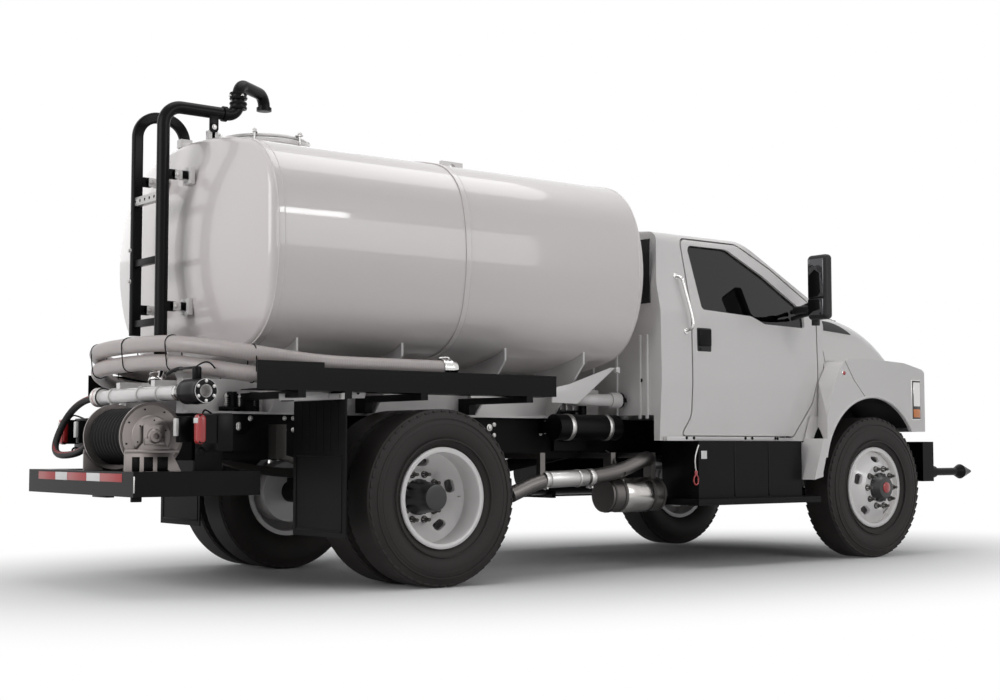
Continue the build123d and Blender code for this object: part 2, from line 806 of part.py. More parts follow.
split_line_shares = ((0.230, 1.100), (0.265, 0.956), (0.335, 0.811), (0.404, 0.711), (0.480, 0.600), (0.520, 0.400))


def bonnet_form(inset):
    """The bonnet's outside as a loft of three upright sections, drawn in by inset."""
    with BuildPart() as form:
        sections = []
        for along_share, half_share, crown_z, edge_z in zip(
                bonnet_along_shares, bonnet_half_shares, bonnet_crown_zs, bonnet_edge_zs):
            x = hood_rear_x + along_share * (hood_front_x - hood_rear_x)
            half = half_share * cab_half_width - inset
            with BuildSketch(Plane.YZ.offset(x)) as section:
                with BuildLine():
                    FilletPolyline(
                        (-half, bonnet_floor_z), (half, bonnet_floor_z), (half, edge_z - inset),
                        (0, 2 * crown_z - edge_z - inset), (-half, edge_z - inset),
                        radius=[0, 0, bonnet_corner_radius, 3 * half, bonnet_corner_radius], close=True)
                make_face()
            sections.append(section.sketch)
        loft(sections, ruled=False)
    return form.part


def fender_form(inset):
    """Both fender boxes, drawn in by inset; the arch is cut later. Above the door's foot their
    rear corners follow the opened door."""
    with BuildPart() as form:
        with BuildSketch(Plane.XZ) as side_view:
            with BuildLine():
                corners = [(fender_rear_x + a * fender_length, fender_low_z + b * fender_height)
                           for a, b, c in fender_outline_shares]
                FilletPolyline(*corners, radius=[c * fender_height for a, b, c in fender_outline_shares], close=True)
            make_face()
            offset(amount=-inset)
        extrude(side_view.sketch, amount=fender_outer_y - inset, both=True)
        reach = door_swing_run * tan(radians(ninety - door_opening))
        for side in (-1, 1):
            with BuildSketch(Plane.XY.offset(door_foot_z - inset)) as corner:
                with BuildLine():
                    hinge_y = side * door_hinge_y
                    outer_y = side * (door_hinge_y + door_swing_run)
                    start_x = door_hinge_x + 2 * panel_gap
                    Polyline((start_x, hinge_y), (start_x - reach, outer_y), (start_x - reach, outer_y + side * overrun),
                             (cab_back_x, outer_y + side * overrun), (cab_back_x, hinge_y), close=True)
                make_face()
                if inset:
                    offset(amount=inset)
            extrude(corner.sketch, amount=2 * cab_top_z, mode=Mode.SUBTRACT)
    return form.part


def nose_plan(inset, mode):
    """Keep what lies behind the nose's curved front, seen in plan."""
    with BuildSketch(Plane.XY) as plan:
        with BuildLine():
            wide = fender_outer_y + overrun
            side_x = hood_front_x - nose_sweep - inset
            ThreePointArc((side_x, wide), (hood_front_x - inset, 0), (side_x, -wide))
            Polyline((side_x, -wide), (cab_back_x, -wide), (cab_back_x, wide), (side_x, wide))
        make_face()
    extrude(plan.sketch, amount=2 * cab_top_z, both=True, mode=mode)


def nose_form(inset):
    with BuildPart() as form:
        add(bonnet_form(inset))
        add(fender_form(inset))
        nose_plan(inset, Mode.INTERSECT)
    return form.part


outer_nose = nose_form(0)
inner_nose = nose_form(hood_wall)


def arch_cut(mode):
    """The wheel arches, cut clean through both fenders, with room behind for the steered tyre."""
    for side in (-1, 1):
        rod((arch_centre_x, side * (fender_inner_y - overrun), arch_centre_z),
            (arch_centre_x, side * (fender_outer_y + overrun), arch_centre_z), arch_radius, mode)
        span_y = sorted((side * (fender_inner_y - overrun), side * (fender_outer_y + overrun)))
        block((arch_centre_x, arch_centre_x + arch_radius), span_y, (fender_low_z - overrun, arch_centre_z), mode)
        foot = [(front_axle_x + x, z) for x, z in arch_foot]
        plate(Plane.XZ.offset(-span_y[1]), [(arch_centre_x, foot[0][1])] + foot + [(arch_centre_x, foot[-1][1])],
              span_y[1] - span_y[0], mode)


def behind_split(shift, mode):
    """Keep or cut what lies behind and below the split line of the fender."""
    with BuildSketch(Plane.XZ) as region:
        with BuildLine():
            line = [(fender_rear_x + a * fender_length + shift, fender_low_z + b * fender_height)
                    for a, b in split_line_shares]
            low = fender_low_z - 2 * overrun
            Polyline((fender_rear_x - overrun, low), (fender_rear_x - overrun, line[0][1]), *line,
                     (line[-1][0], low), (fender_rear_x - overrun, low))
        make_face()
    extrude(region.sketch, amount=2 * cab_half_width, both=True, mode=mode)


with BuildPart() as nose_shell:
    add(outer_nose)
    add(inner_nose, mode=Mode.SUBTRACT)
    arch_cut(Mode.SUBTRACT)
    add(cab_form(-panel_gap), mode=Mode.SUBTRACT)
    block((cab_back_x - overrun, hood_front_x + overrun), (-fender_inner_y, fender_inner_y),
          (fender_low_z - overrun, nose_bottom_z), Mode.SUBTRACT)

with BuildPart() as hood_shell:
    add(nose_shell.part)
    behind_split(panel_gap, Mode.SUBTRACT)
    block((cab_back_x - overrun, hood_front_x + overrun), (-2 * cab_half_width, 2 * cab_half_width),
          (fender_low_z - 2 * overrun, nose_bottom_z), Mode.SUBTRACT)
with BuildPart() as fender_rear_panels:
    add(nose_shell.part)
    behind_split(0, Mode.INTERSECT)

# Grille and headlamps, each in its own pocket of the hood
grille_half_width = 430
grille_low_z = 1010
grille_high_z = 1440
grille_depth = 30
grille_bar_count = 7
lamp_inner_y = 800
lamp_outer_y = 1130
lamp_low_z = 1075
lamp_high_z = 1330
lamp_depth = 60
lamp_rear_x = front_axle_x + 505
grille_rear_x = front_axle_x + 640
hinge_ear_x = front_axle_x + 690
hinge_ear_z = 950
hinge_ear_y = (330, 380)
hinge_pin_radius = 9
hinge_boss_radius = 18
hinge_bracket_y = (386, 430)

grille_y = (-grille_half_width, grille_half_width)
with BuildPart() as hood_panel:
    add(hood_shell.part)
    block((grille_rear_x, hood_front_x + overrun), grille_y, (grille_low_z, grille_high_z), Mode.SUBTRACT)
    pair_block((lamp_rear_x, hood_front_x + overrun), (lamp_inner_y, lamp_outer_y), (lamp_low_z, lamp_high_z),
               Mode.SUBTRACT)
    pair_block((hinge_ear_x - hinge_boss_radius, hood_front_x - hood_wall), hinge_ear_y,
               (nose_bottom_z, nose_bottom_z + 2 * hood_wall))
    for side in (-1, 1):
        near, away = [side * y for y in hinge_ear_y]
        rod((hinge_ear_x, near, hinge_ear_z), (hinge_ear_x, away, hinge_ear_z), hinge_boss_radius)
        rod((hinge_ear_x, near - side * overrun, hinge_ear_z), (hinge_ear_x, away + side * overrun, hinge_ear_z),
            hinge_pin_radius + running_gap, Mode.SUBTRACT)
save("hood_panel", hood_panel.part)
save("fender_rear_panels", fender_rear_panels.part)

with BuildPart() as grille:
    add(outer_nose)
    add(nose_form(grille_depth), mode=Mode.SUBTRACT)
    block((grille_rear_x, hood_front_x + overrun), (-grille_half_width + seat_gap, grille_half_width - seat_gap),
          (grille_low_z + seat_gap, grille_high_z - seat_gap), Mode.INTERSECT)
    pitch = (grille_high_z - grille_low_z) / grille_bar_count
    for row in range(grille_bar_count):
        low = grille_low_z + (row + 1 / 3) * pitch
        block((grille_rear_x - overrun, hood_front_x + overrun), (-grille_half_width + overrun,
              grille_half_width - overrun), (low, low + pitch / 2), Mode.SUBTRACT)
save("grille", grille.part)

with BuildPart() as headlamps:
    add(outer_nose)
    pair = ((-lamp_outer_y + seat_gap, -lamp_inner_y - seat_gap), (lamp_inner_y + seat_gap, lamp_outer_y - seat_gap))
    add(nose_form(lamp_depth), mode=Mode.SUBTRACT)
    block((lamp_rear_x + seat_gap, hood_front_x + overrun), (-fender_outer_y, fender_outer_y),
          (lamp_low_z + seat_gap, lamp_high_z - seat_gap), Mode.INTERSECT)
    block((lamp_rear_x - overrun, hood_front_x + overrun), (pair[0][1], pair[1][0]),
          (lamp_low_z - overrun, lamp_high_z + overrun), Mode.SUBTRACT)
    for low, high in ((-fender_outer_y - overrun, pair[0][0]), (pair[1][1], fender_outer_y + overrun)):
        block((lamp_rear_x - overrun, hood_front_x + overrun), (low, high),
              (lamp_low_z - overrun, lamp_high_z + overrun), Mode.SUBTRACT)
save("headlamps", headlamps.part)

# Front bumper, its hangers on the rails, the hood's pivot brackets and the two spray heads
bumper_rear_x = front_axle_x + 622
bumper_front_x = front_axle_x + 805
bumper_sweep = 50
bumper_half_width = 1130
bumper_low_z = 560
bumper_high_z = 868
bumper_wall = 8
spray_y = 1080
spray_z = 632
spray_pipe_radius = 30
spray_flange_radius = 46
spray_flange_length = 14
spray_cone_radius = 58
spray_tip_radius = 10
spray_tip_x = front_axle_x + front_reach
spray_cone_length = 70
spray_mouth_x = spray_tip_x - 3 * spray_cone_length
hanger_y = (rail_outer_y - rail_flange, rail_outer_y - rail_wall)


def bumper_form(inset):
    with BuildPart() as form:
        with BuildSketch(Plane.XY.offset(bumper_low_z + inset)) as plan:
            with BuildLine():
                wide = bumper_half_width - inset
                ThreePointArc((bumper_front_x - bumper_sweep - inset, wide), (bumper_front_x - inset, 0),
                              (bumper_front_x - bumper_sweep - inset, -wide))
                Polyline((bumper_front_x - bumper_sweep - inset, -wide), (bumper_rear_x, -wide),
                         (bumper_rear_x, wide), (bumper_front_x - bumper_sweep - inset, wide))
            make_face()
        extrude(plan.sketch, amount=bumper_high_z - bumper_low_z - 2 * inset)
    return form.part


with BuildPart() as front_bumper:
    add(bumper_form(0))
    add(Pos(-bumper_wall, 0, 0) * bumper_form(bumper_wall), mode=Mode.SUBTRACT)
    pair_block((rail_front_x + seat_gap, bumper_front_x - bumper_sweep / 2), hanger_y,
               (rail_bottom_z, bumper_high_z - bumper_wall))
    pair_block((rail_front_x - 3 * overrun / 2, rail_front_x + overrun), (hanger_y[0] - rail_wall, hanger_y[0]),
               (rail_bottom_z + rail_wall + seat_gap, bumper_high_z - bumper_wall))
    for side in (-1, 1):
        near, away = [side * y for y in hinge_bracket_y]
        pin_end = side * (hinge_ear_y[0])
        rod((hinge_ear_x, pin_end, hinge_ear_z), (hinge_ear_x, away, hinge_ear_z), hinge_pin_radius)
        rod((hinge_ear_x, near, hinge_ear_z), (hinge_ear_x, away, hinge_ear_z), hinge_boss_radius)
        span_y = sorted((near, away))
        block((hinge_ear_x - hinge_boss_radius, hinge_ear_x), span_y,
              (bumper_high_z - 2 * bumper_wall, hinge_ear_z))
save("front_bumper", front_bumper.part)

with BuildPart() as front_spray:
    for side in (-1, 1):
        y = side * spray_y
        flange_x = bumper_front_x + spray_flange_length
        rod((bumper_rear_x + overrun, y, spray_z), (flange_x, y, spray_z), spray_flange_radius)
        rod((flange_x, y, spray_z), (spray_mouth_x, y, spray_z), spray_pipe_radius)
        cone((spray_mouth_x, y, spray_z), (spray_mouth_x + spray_cone_length, y, spray_z),
             spray_pipe_radius, spray_cone_radius)
        cone((spray_mouth_x + spray_cone_length, y, spray_z), (spray_tip_x, y, spray_z),
             spray_cone_radius, spray_tip_radius)
    add(bumper_form(-seat_gap), mode=Mode.SUBTRACT)
save("front_spray", front_spray.part)

# Tank: four bowed plates with large corners, closed by two shallow heads
tank_side_bulge = 120
tank_top_bulge = 150
tank_knuckle_radius = 45
rim_share = 0.9
tank_seam_share = 0.517
tank_seam_width = 36
tank_seam_height = 5
manway_x = tank_rear_x + 630
manway_radius = 262
manway_wall = 14
manway_rim = 28
manway_rim_height = 18
manway_top_z = 2742
manway_well_depth = 150
lid_pin_reach = 330
lid_pin_radius = 12
lid_boss_radius = 26
lid_gap = 6
lid_pin_head = 8
lid_thickness = 16
lid_crown = 34
lug_hole_x = tank_front_x - 990
lug_x_range = (lug_hole_x - 91, lug_hole_x + 90)
lug_thickness = 28
lug_top_z = 2805
lug_hole_radius = 26
lug_hole_z = 2762


def tank_section(x, draw_in):
    """The tank's section at x: four bowed plates and large corners, drawn in by draw_in."""
    half_width = tank_width / 2 - draw_in
    half_height = tank_height / 2 - draw_in
    corner_y = half_width - tank_side_bulge
    corner_z = half_height - tank_top_bulge
    mid = tank_centre_z
    with BuildSketch(Plane.YZ.offset(x)) as section:
        with BuildLine():
            ThreePointArc((-corner_y, mid + corner_z), (0, mid + half_height), (corner_y, mid + corner_z))
            ThreePointArc((corner_y, mid + corner_z), (half_width, mid), (corner_y, mid - corner_z))
            ThreePointArc((corner_y, mid - corner_z), (0, mid - half_height), (-corner_y, mid - corner_z))
            ThreePointArc((-corner_y, mid - corner_z), (-half_width, mid), (-corner_y, mid + corner_z))
        make_face()
        fillet(section.vertices(), tank_corner_radius - draw_in)
    return section.sketch


def tank_form(inset):
    """The tank's outside, drawn in by inset; a negative inset gives a jacket round it. Each head
    is the outer side of a ring whose two radii give it one depth at the sides and at the top."""
    half_width = tank_width / 2 - inset
    half_height = tank_height / 2 - inset
    wide = (half_width ** 2 + tank_head_depth ** 2) / (2 * tank_head_depth)
    tall = (half_height ** 2 + tank_head_depth ** 2) / (2 * tank_head_depth)
    with BuildPart() as form:
        extrude(tank_section(tank_rear_x + inset, inset), amount=tank_length - 2 * inset)
        for x in (tank_rear_x + inset + wide, tank_front_x - inset - wide):
            with Locations((x, 0, tank_centre_z)):
                Torus(wide - tall, tall, mode=Mode.INTERSECT)
        rims = []
        for edge in form.edges():
            middle = edge @ 0.5
            out = (middle.Y / half_width) ** 2 + ((middle.Z - tank_centre_z) / half_height) ** 2
            if edge.bounding_box().size.X < 2 * tank_head_depth and out > rim_share ** 2:
                rims.append(edge)
        fillet(rims, tank_knuckle_radius - inset)
    return form.part


tank_outside = tank_form(0)
tank_jacket = tank_form(-seat_gap)
with BuildPart() as tank:
    add(tank_outside)
    seam_x = tank_rear_x + (1 - tank_seam_share) * tank_length
    with BuildPart(mode=Mode.PRIVATE) as seam:
        add(tank_form(-tank_seam_height))
        far_y = tank_width
        block((seam_x - tank_seam_width / 2, seam_x + tank_seam_width / 2), (-far_y, far_y), (0, 2 * tank_centre_z),
              Mode.INTERSECT)
    add(seam.part)
    rod((manway_x, 0, manway_top_z - manway_well_depth), (manway_x, 0, manway_top_z + overrun),
        manway_radius + seat_gap, Mode.SUBTRACT)
save("tank", tank.part)

with BuildPart() as manway_neck:
    rod((manway_x, 0, manway_top_z - manway_well_depth + seat_gap), (manway_x, 0, manway_top_z), manway_radius)
    rod((manway_x, 0, manway_top_z - manway_rim_height), (manway_x, 0, manway_top_z), manway_radius + manway_rim)
    rod((manway_x, 0, manway_top_z - manway_well_depth + 2 * manway_wall), (manway_x, 0, manway_top_z + overrun),
        manway_radius - manway_wall, Mode.SUBTRACT)
    block((manway_x - lid_boss_radius, manway_x + lid_boss_radius), (manway_radius, lid_pin_reach),
          (manway_top_z - manway_rim_height, manway_top_z))
    rod((manway_x, lid_pin_reach, manway_top_z - manway_rim_height), (manway_x, lid_pin_reach, manway_top_z),
        lid_boss_radius)
    pin_top = manway_top_z + lid_gap + lid_thickness + lid_gap
    rod((manway_x, lid_pin_reach, manway_top_z), (manway_x, lid_pin_reach, pin_top + lid_pin_head), lid_pin_radius)
    rod((manway_x, lid_pin_reach, pin_top), (manway_x, lid_pin_reach, pin_top + lid_pin_head), lid_boss_radius)
save("manway_neck", manway_neck.part)

# The lid rides on its pin's shoulder and swings aside under the spout
with BuildPart() as manway_lid:
    low = manway_top_z + lid_gap
    rod((manway_x, 0, low), (manway_x, 0, low + lid_thickness), manway_radius + manway_rim / 2)
    cone((manway_x, 0, low + lid_thickness), (manway_x, 0, low + lid_crown), manway_radius - manway_rim,
         manway_radius * 2 / 3)
    block((manway_x - lid_boss_radius, manway_x + lid_boss_radius), (manway_radius - manway_rim, lid_pin_reach),
          (low, low + lid_thickness))
    rod((manway_x, lid_pin_reach, low), (manway_x, lid_pin_reach, low + lid_thickness), lid_boss_radius)
    rod((manway_x, lid_pin_reach, low - overrun), (manway_x, lid_pin_reach, low + overrun),
        lid_pin_radius + running_gap, Mode.SUBTRACT)
    rod((manway_x, 0, low + lid_crown), (manway_x, 0, low + lid_crown + lid_thickness), lid_boss_radius)
save("manway_lid", manway_lid.part)

with BuildPart() as lifting_lug:
    low_z = tank_centre_z + tank_height / 2 - tank_corner_radius / 3
    block(lug_x_range, (-lug_thickness / 2, lug_thickness / 2), (low_z, lug_top_z))
    block((lug_x_range[0] - overrun, lug_x_range[1] + overrun), (-2 * lug_thickness, 2 * lug_thickness),
          (low_z, tank_centre_z + tank_height / 2 + lug_thickness / 2))
    rod((lug_hole_x, -lug_thickness, lug_hole_z), (lug_hole_x, lug_thickness, lug_hole_z), lug_hole_radius,
        Mode.SUBTRACT)
    add(tank_jacket, mode=Mode.SUBTRACT)
save("lifting_lug", lifting_lug.part)

# Tank bed: two sills on the rails, saddles shaped to the tank, gussets and a rear beam
sill_outer_y = 432
sill_inner_y = 352
sill_top_z = 1225
sill_front_x = tank_front_x - 15
sill_rear_x = tank_rear_x - 120
bed_flange_y = 502
bed_plate = 14
saddle_shares = (0.157, 0.372, 0.630, 0.868)
saddle_xs = [tank_front_x - share * tank_length for share in saddle_shares]
saddle_half_width = 820
saddle_thickness = 14
saddle_top_z = 1560
rear_beam_z = (1150, 1212)

with BuildPart() as tank_bed:
    low = rail_top_z + seat_gap
    pair_block((sill_rear_x, sill_front_x), (sill_inner_y, sill_outer_y), (low, sill_top_z))
    pair_block((sill_rear_x, sill_front_x), (sill_outer_y, bed_flange_y), (low, low + bed_plate))
    block((sill_rear_x, sill_rear_x + sill_outer_y / 6), (-sill_inner_y, sill_inner_y), rear_beam_z)
    block((sill_front_x - sill_outer_y / 6, sill_front_x), (-sill_inner_y, sill_inner_y), rear_beam_z)
    for x in saddle_xs:
        corners = ((-saddle_half_width, saddle_top_z), (-saddle_half_width, saddle_top_z - 180),
                   (-bed_flange_y, low + bed_plate), (bed_flange_y, low + bed_plate),
                   (saddle_half_width, saddle_top_z - 180), (saddle_half_width, saddle_top_z))
        plate(Plane.YZ.offset(x - saddle_thickness / 2), corners, saddle_thickness)
    add(tank_jacket, mode=Mode.SUBTRACT)
save("tank_bed", tank_bed.part)

mount_x_ranges = ((tank_front_x - 450, tank_front_x - 160), (tank_rear_x + 150, tank_rear_x + 360))
mount_plate_y = (rail_outer_y + seat_gap, rail_outer_y + 32)
mount_low_z = 800
mount_bolt_radius = 18
mount_spring_radius = 30
mount_spring_top_z = 1150
with BuildPart() as tank_mounts:
    for x_range in mount_x_ranges:
        pair_block(x_range, mount_plate_y, (mount_low_z, rail_top_z - seat_gap))
        for x in (x_range[0] + mount_spring_radius, x_range[1] - mount_spring_radius):
            for side in (-1, 1):
                y = side * (rail_outer_y + mount_spring_radius + seat_gap)
                top = low + bed_plate + seat_gap
                rod((x, y, top), (x, y, mount_spring_top_z), mount_spring_radius - running_gap - 1)
save("tank_mounts", tank_mounts.part)

# Along the right rail behind the cab: exhaust with its canister, and the boxes under the doors
box_x_range = (front_axle_x - 1770, front_axle_x - 712)
box_y = (700, 1060)
box_z = (470, 866)
step_x_range = (front_axle_x - 1860, front_axle_x - 612)
step_y = (1000, 1150)
step_z = (428, 470)
box_hanger_x_shares = (0.15, 0.85)
box_hanger_thickness = 40
box_hanger_height = 90
fuel_tank_radius = 190
fuel_tank_y = 800
fuel_tank_z = 640
exhaust_radius = 50
exhaust_wall = 3
exhaust_route = [(front_axle_x + x, y, z) for x, y, z in (
    (-1450, -500, 715), (-1760, -560, 715), (-2060, -850, 755), (-2290, -850, 668), (-2560, -850, 625),
    (-3000, -850, 612), (-3250, -850, 520))]
canister_radius = 115
canister_x_range = (front_axle_x - 2370, front_axle_x - 1875)
canister_y = -745
canister_z = 500
exhaust_hanger_y = -432

box_outside_y = box_y[1]
with BuildPart() as side_boxes:
    block(box_x_range, (-box_y[1], -box_y[0]), box_z)
    block(step_x_range, (-step_y[1], -step_y[0]), (step_z[0], step_z[1] + seat_gap))
    block(step_x_range, (-box_y[1], -box_y[0]), (step_z[0], step_z[1]))
    for share in box_hanger_x_shares:
        x = box_x_range[0] + share * (box_x_range[1] - box_x_range[0])
        block((x, x + box_hanger_thickness), (-box_y[0], -rail_outer_y - seat_gap),
              (box_z[1] - box_hanger_height, box_z[1]))

    rod((box_x_range[0], fuel_tank_y, fuel_tank_z), (box_x_range[1], fuel_tank_y, fuel_tank_z), fuel_tank_radius)
    block(step_x_range, (step_y[0], step_y[1]), step_z)
    for share in box_hanger_x_shares:
        x = box_x_range[0] + share * (box_x_range[1] - box_x_range[0])
        block((x, x + box_hanger_thickness), (rail_outer_y + seat_gap, fuel_tank_y),
              (box_z[1] - box_hanger_height, box_z[1] - box_hanger_height / 2))
        block((x, x + box_hanger_thickness), (fuel_tank_y - fuel_tank_radius / 2, step_y[1]),
              (step_z[0], fuel_tank_z - fuel_tank_radius + box_hanger_thickness))
save("side_boxes", side_boxes.part)

with BuildPart() as exhaust:
    length = tube(exhaust_route, route_radii(exhaust_route), exhaust_radius)
    rod((canister_x_range[0], canister_y, canister_z), (canister_x_range[1], canister_y, canister_z),
        canister_radius)
    for x in (canister_x_range[0] + overrun, canister_x_range[1] - 2 * overrun):
        block((x, x + box_hanger_thickness), (canister_y - overrun, -rail_outer_y - seat_gap),
              (rail_bottom_z, rail_bottom_z + box_hanger_thickness))
        block((x, x + box_hanger_thickness), (canister_y - overrun, canister_y + overrun),
              (canister_z, rail_bottom_z + box_hanger_thickness))
    x = front_axle_x - 3020
    block((x, x + box_hanger_thickness), (-850, -rail_outer_y - seat_gap), (rail_bottom_z, rail_bottom_z + overrun))
    block((x, x + box_hanger_thickness), (-850 - overrun / 2, -850 + overrun / 2), (612, rail_bottom_z + overrun))
print("exhaust", round(length), len(exhaust.part.solids()))
save("exhaust", exhaust.part)

# Between cab and tank on the right: the white delivery pipe with its cap coupling, and the air tank
delivery_y = -610
delivery_z = 1150
delivery_x_range = (front_axle_x - 2190, front_axle_x - 2085)
delivery_pipe_radius = 42
delivery_elbow_setback = 2420
delivery_cap_radius = 54
air_tank_x_range = (front_axle_x - 2700, front_axle_x - 2140)
air_tank_y = -620
air_tank_z = 960
air_tank_radius = 88
with BuildPart() as delivery_pipe:
    elbow_x = front_axle_x - delivery_elbow_setback
    route = [(elbow_x, -sill_outer_y - seat_gap, delivery_z), (elbow_x, delivery_y, delivery_z),
             (delivery_x_range[0], delivery_y, delivery_z)]
    length = tube(route, [delivery_pipe_radius * 2], delivery_pipe_radius)
    rod((delivery_x_range[0], delivery_y, delivery_z), (delivery_x_range[1], delivery_y, delivery_z),
        delivery_cap_radius)
save("delivery_pipe", delivery_pipe.part)
with BuildPart() as air_tank:
    rod((air_tank_x_range[0], air_tank_y, air_tank_z), (air_tank_x_range[1], air_tank_y, air_tank_z),
        air_tank_radius)
    for x in (air_tank_x_range[0] + 25, air_tank_x_range[1] - 85):
        block((x, x + box_hanger_thickness / 2), (air_tank_y, -rail_outer_y - seat_gap),
              (air_tank_z - overrun, air_tank_z + overrun))
save("air_tank", air_tank.part)

# Hose trays on their arms, with the mudflaps below them
tray_y = (960, 1150)
tray_z = (1140, 1300)
tray_wall = 6
tray_rear_x = tank_rear_x - 30
tray_middle_x = tank_rear_x + 395
tray_front_x = tank_front_x - 1002
tray_front_drop = 30
arm_shares = (0.393, 0.651, 0.919)
arm_xs = [tank_front_x - share * tank_length for share in arm_shares]
arm_z = (1100, 1140)
arm_width = 50
flap_x = rear_axle_x - 680
flap_y = (603, 1180)
flap_z = (310, 1131)
flap_thickness = 10

with BuildPart() as hose_trays:
    for side in (-1, 1):
        low_y, high_y = sorted((side * tray_y[0], side * tray_y[1]))
        block((tray_rear_x, tray_middle_x), (low_y, high_y), tray_z)
        open_y = sorted((side * (tray_y[0] - overrun), side * (tray_y[1] - tray_wall)))
        block((tray_rear_x - overrun, tray_middle_x - tray_wall), open_y,
              (tray_z[0] + tray_wall, tray_z[1] + overrun), Mode.SUBTRACT)
        block((tray_middle_x, tray_front_x), (low_y, high_y), (tray_z[0], tray_z[1] - tray_front_drop))
        block((tray_middle_x - overrun, tray_front_x - tray_wall), (low_y + tray_wall, high_y - tray_wall),
              (tray_z[0] + tray_wall, tray_z[1] + overrun), Mode.SUBTRACT)
        for x in arm_xs:
            y_range = sorted((side * (bed_flange_y + seat_gap), side * tray_y[1]))
            block((x - arm_width / 2, x + arm_width / 2), y_range, arm_z)
            y_range = sorted((side * (sill_outer_y + seat_gap), side * (bed_flange_y + arm_width)))
            block((x - arm_width / 2, x + arm_width / 2), y_range, (low + bed_plate + seat_gap, arm_z[1]))
        y_range = sorted((side * flap_y[0], side * tray_y[1]))
        block((flap_x + flap_thickness + seat_gap, flap_x + flap_thickness + arm_width), y_range, arm_z)
        block((flap_x + flap_thickness + seat_gap, flap_x + flap_thickness + arm_width),
              sorted((side * (sill_outer_y + seat_gap), side * flap_y[0])), arm_z)
save("hose_trays", hose_trays.part)

with BuildPart() as mudflaps:
    pair_block((flap_x, flap_x + flap_thickness), flap_y, flap_z)
save("mudflaps", mudflaps.part)

# The two suction hoses lie in the trays and cross behind the tank
hose_radius = 48
# hose places from the tank's rear end
upper_hose_half = [(1260, -1055, 1298), (860, -1056, 1298), (420, -1055, 1299), (53, -957, 1350),
                   (-206, -650, 1405), (-260, -355, 1425)]
lower_hose_half = [(1080, -1055, 1196), (760, -1056, 1196), (430, -1055, 1197), (65, -957, 1228),
                   (-194, -650, 1290), (-250, -355, 1318)]
for name, half in (("suction_hose_upper", upper_hose_half), ("suction_hose_lower", lower_hose_half)):
    route = [(tank_rear_x + x, y, z) for x, y, z in half + [(x, -y, z) for x, y, z in reversed(half)]]
    with BuildPart() as hose:
        length = tube(route, route_radii(route), hose_radius)
    print(name, round(length), [round(radius) for radius in route_radii(route)], len(hose.part.solids()),
          round(hose.part.volume / (pi * hose_radius ** 2 * length), 3))
    save(name, hose.part)

with BuildPart() as hose_couplings:
    for side in (-1, 1):
        x, y, z = upper_hose_half[0]
        start = (tank_rear_x + x + seat_gap, side * abs(y), z)
        rod(start, (tank_rear_x + x + 70, side * abs(y), z), 56)
        rod((tank_rear_x + x + 70, side * abs(y), z), (tank_rear_x + x + 105, side * abs(y), z), 46)
save("hose_couplings", hose_couplings.part)

# Ladder and overhead fill pipe
ladder_x = tank_rear_x - 150
ladder_left_y = 170
ladder_right_y = -190
ladder_foot_z = 1500
ladder_top_z = 2860
ladder_loop_x = tank_rear_x + 165
stile_width = 40
stile_depth = 68
rung_zs = (1570, 1940, 2310)
rung_radius = 17
bracket_zs = (1640, 2430)
bracket_reach = 420
bracket_half_width = 10
fill_radius = 38
fill_collar_radius = 50
fill_foot_z = 1360
fill_swivel_x = tank_rear_x + 345
fill_neck_top_z = 3060
fill_spout_z = 2960
fill_bracket_x = tank_rear_x + 170
fill_collar_zs = (2905, 2965)
fill_collar_height = 34
tank_top_z = tank_centre_z + tank_height / 2

with BuildPart() as ladder:
    stile_path = [(ladder_x, ladder_left_y, ladder_foot_z), (ladder_x, ladder_left_y, ladder_top_z),
                  (ladder_loop_x, ladder_left_y, ladder_top_z), (ladder_loop_x, ladder_left_y, tank_top_z - 60)]
    with BuildLine() as route:
        FilletPolyline(*stile_path, radius=2 * stile_depth)
    with BuildSketch(Plane(origin=stile_path[0], x_dir=(1, 0, 0), z_dir=(0, 0, 1))) as ring:
        RectangleRounded(stile_depth, stile_width, stile_width / 3)
    sweep(ring.sketch, path=route.line)
    for z in rung_zs:
        rod((ladder_x, ladder_right_y + fill_radius + seat_gap, z), (ladder_x, ladder_left_y, z), rung_radius)
    for z in bracket_zs:
        block((ladder_x, ladder_x + bracket_reach),
              (ladder_left_y - bracket_half_width, ladder_left_y + bracket_half_width), (z, z + stile_width))
    add(tank_jacket, mode=Mode.SUBTRACT)
save("ladder", ladder.part)

with BuildPart() as fill_pipe:
    route = [(ladder_x, ladder_right_y, fill_foot_z), (ladder_x, ladder_right_y, ladder_top_z),
             (fill_swivel_x, ladder_right_y, ladder_top_z), (fill_swivel_x, ladder_right_y, fill_neck_top_z),
             (manway_x, 0, fill_neck_top_z), (manway_x, 0, fill_spout_z)]
    length = tube(route, [3 * fill_radius] + [2 * fill_radius] * 3, fill_radius)
    for z in fill_collar_zs:
        rod((fill_swivel_x, ladder_right_y, z), (fill_swivel_x, ladder_right_y, z + fill_collar_height),
            fill_collar_radius)
    for z in bracket_zs:
        block((ladder_x, ladder_x + bracket_reach),
              (ladder_right_y - bracket_half_width, ladder_right_y + bracket_half_width), (z, z + stile_width))
    block((fill_bracket_x - bracket_half_width, fill_bracket_x + bracket_half_width),
          (ladder_right_y - stile_width / 2, ladder_right_y + stile_width / 2), (tank_top_z - 2 * stile_width, ladder_top_z))
    add(tank_jacket, mode=Mode.SUBTRACT)
save("fill_pipe", fill_pipe.part)

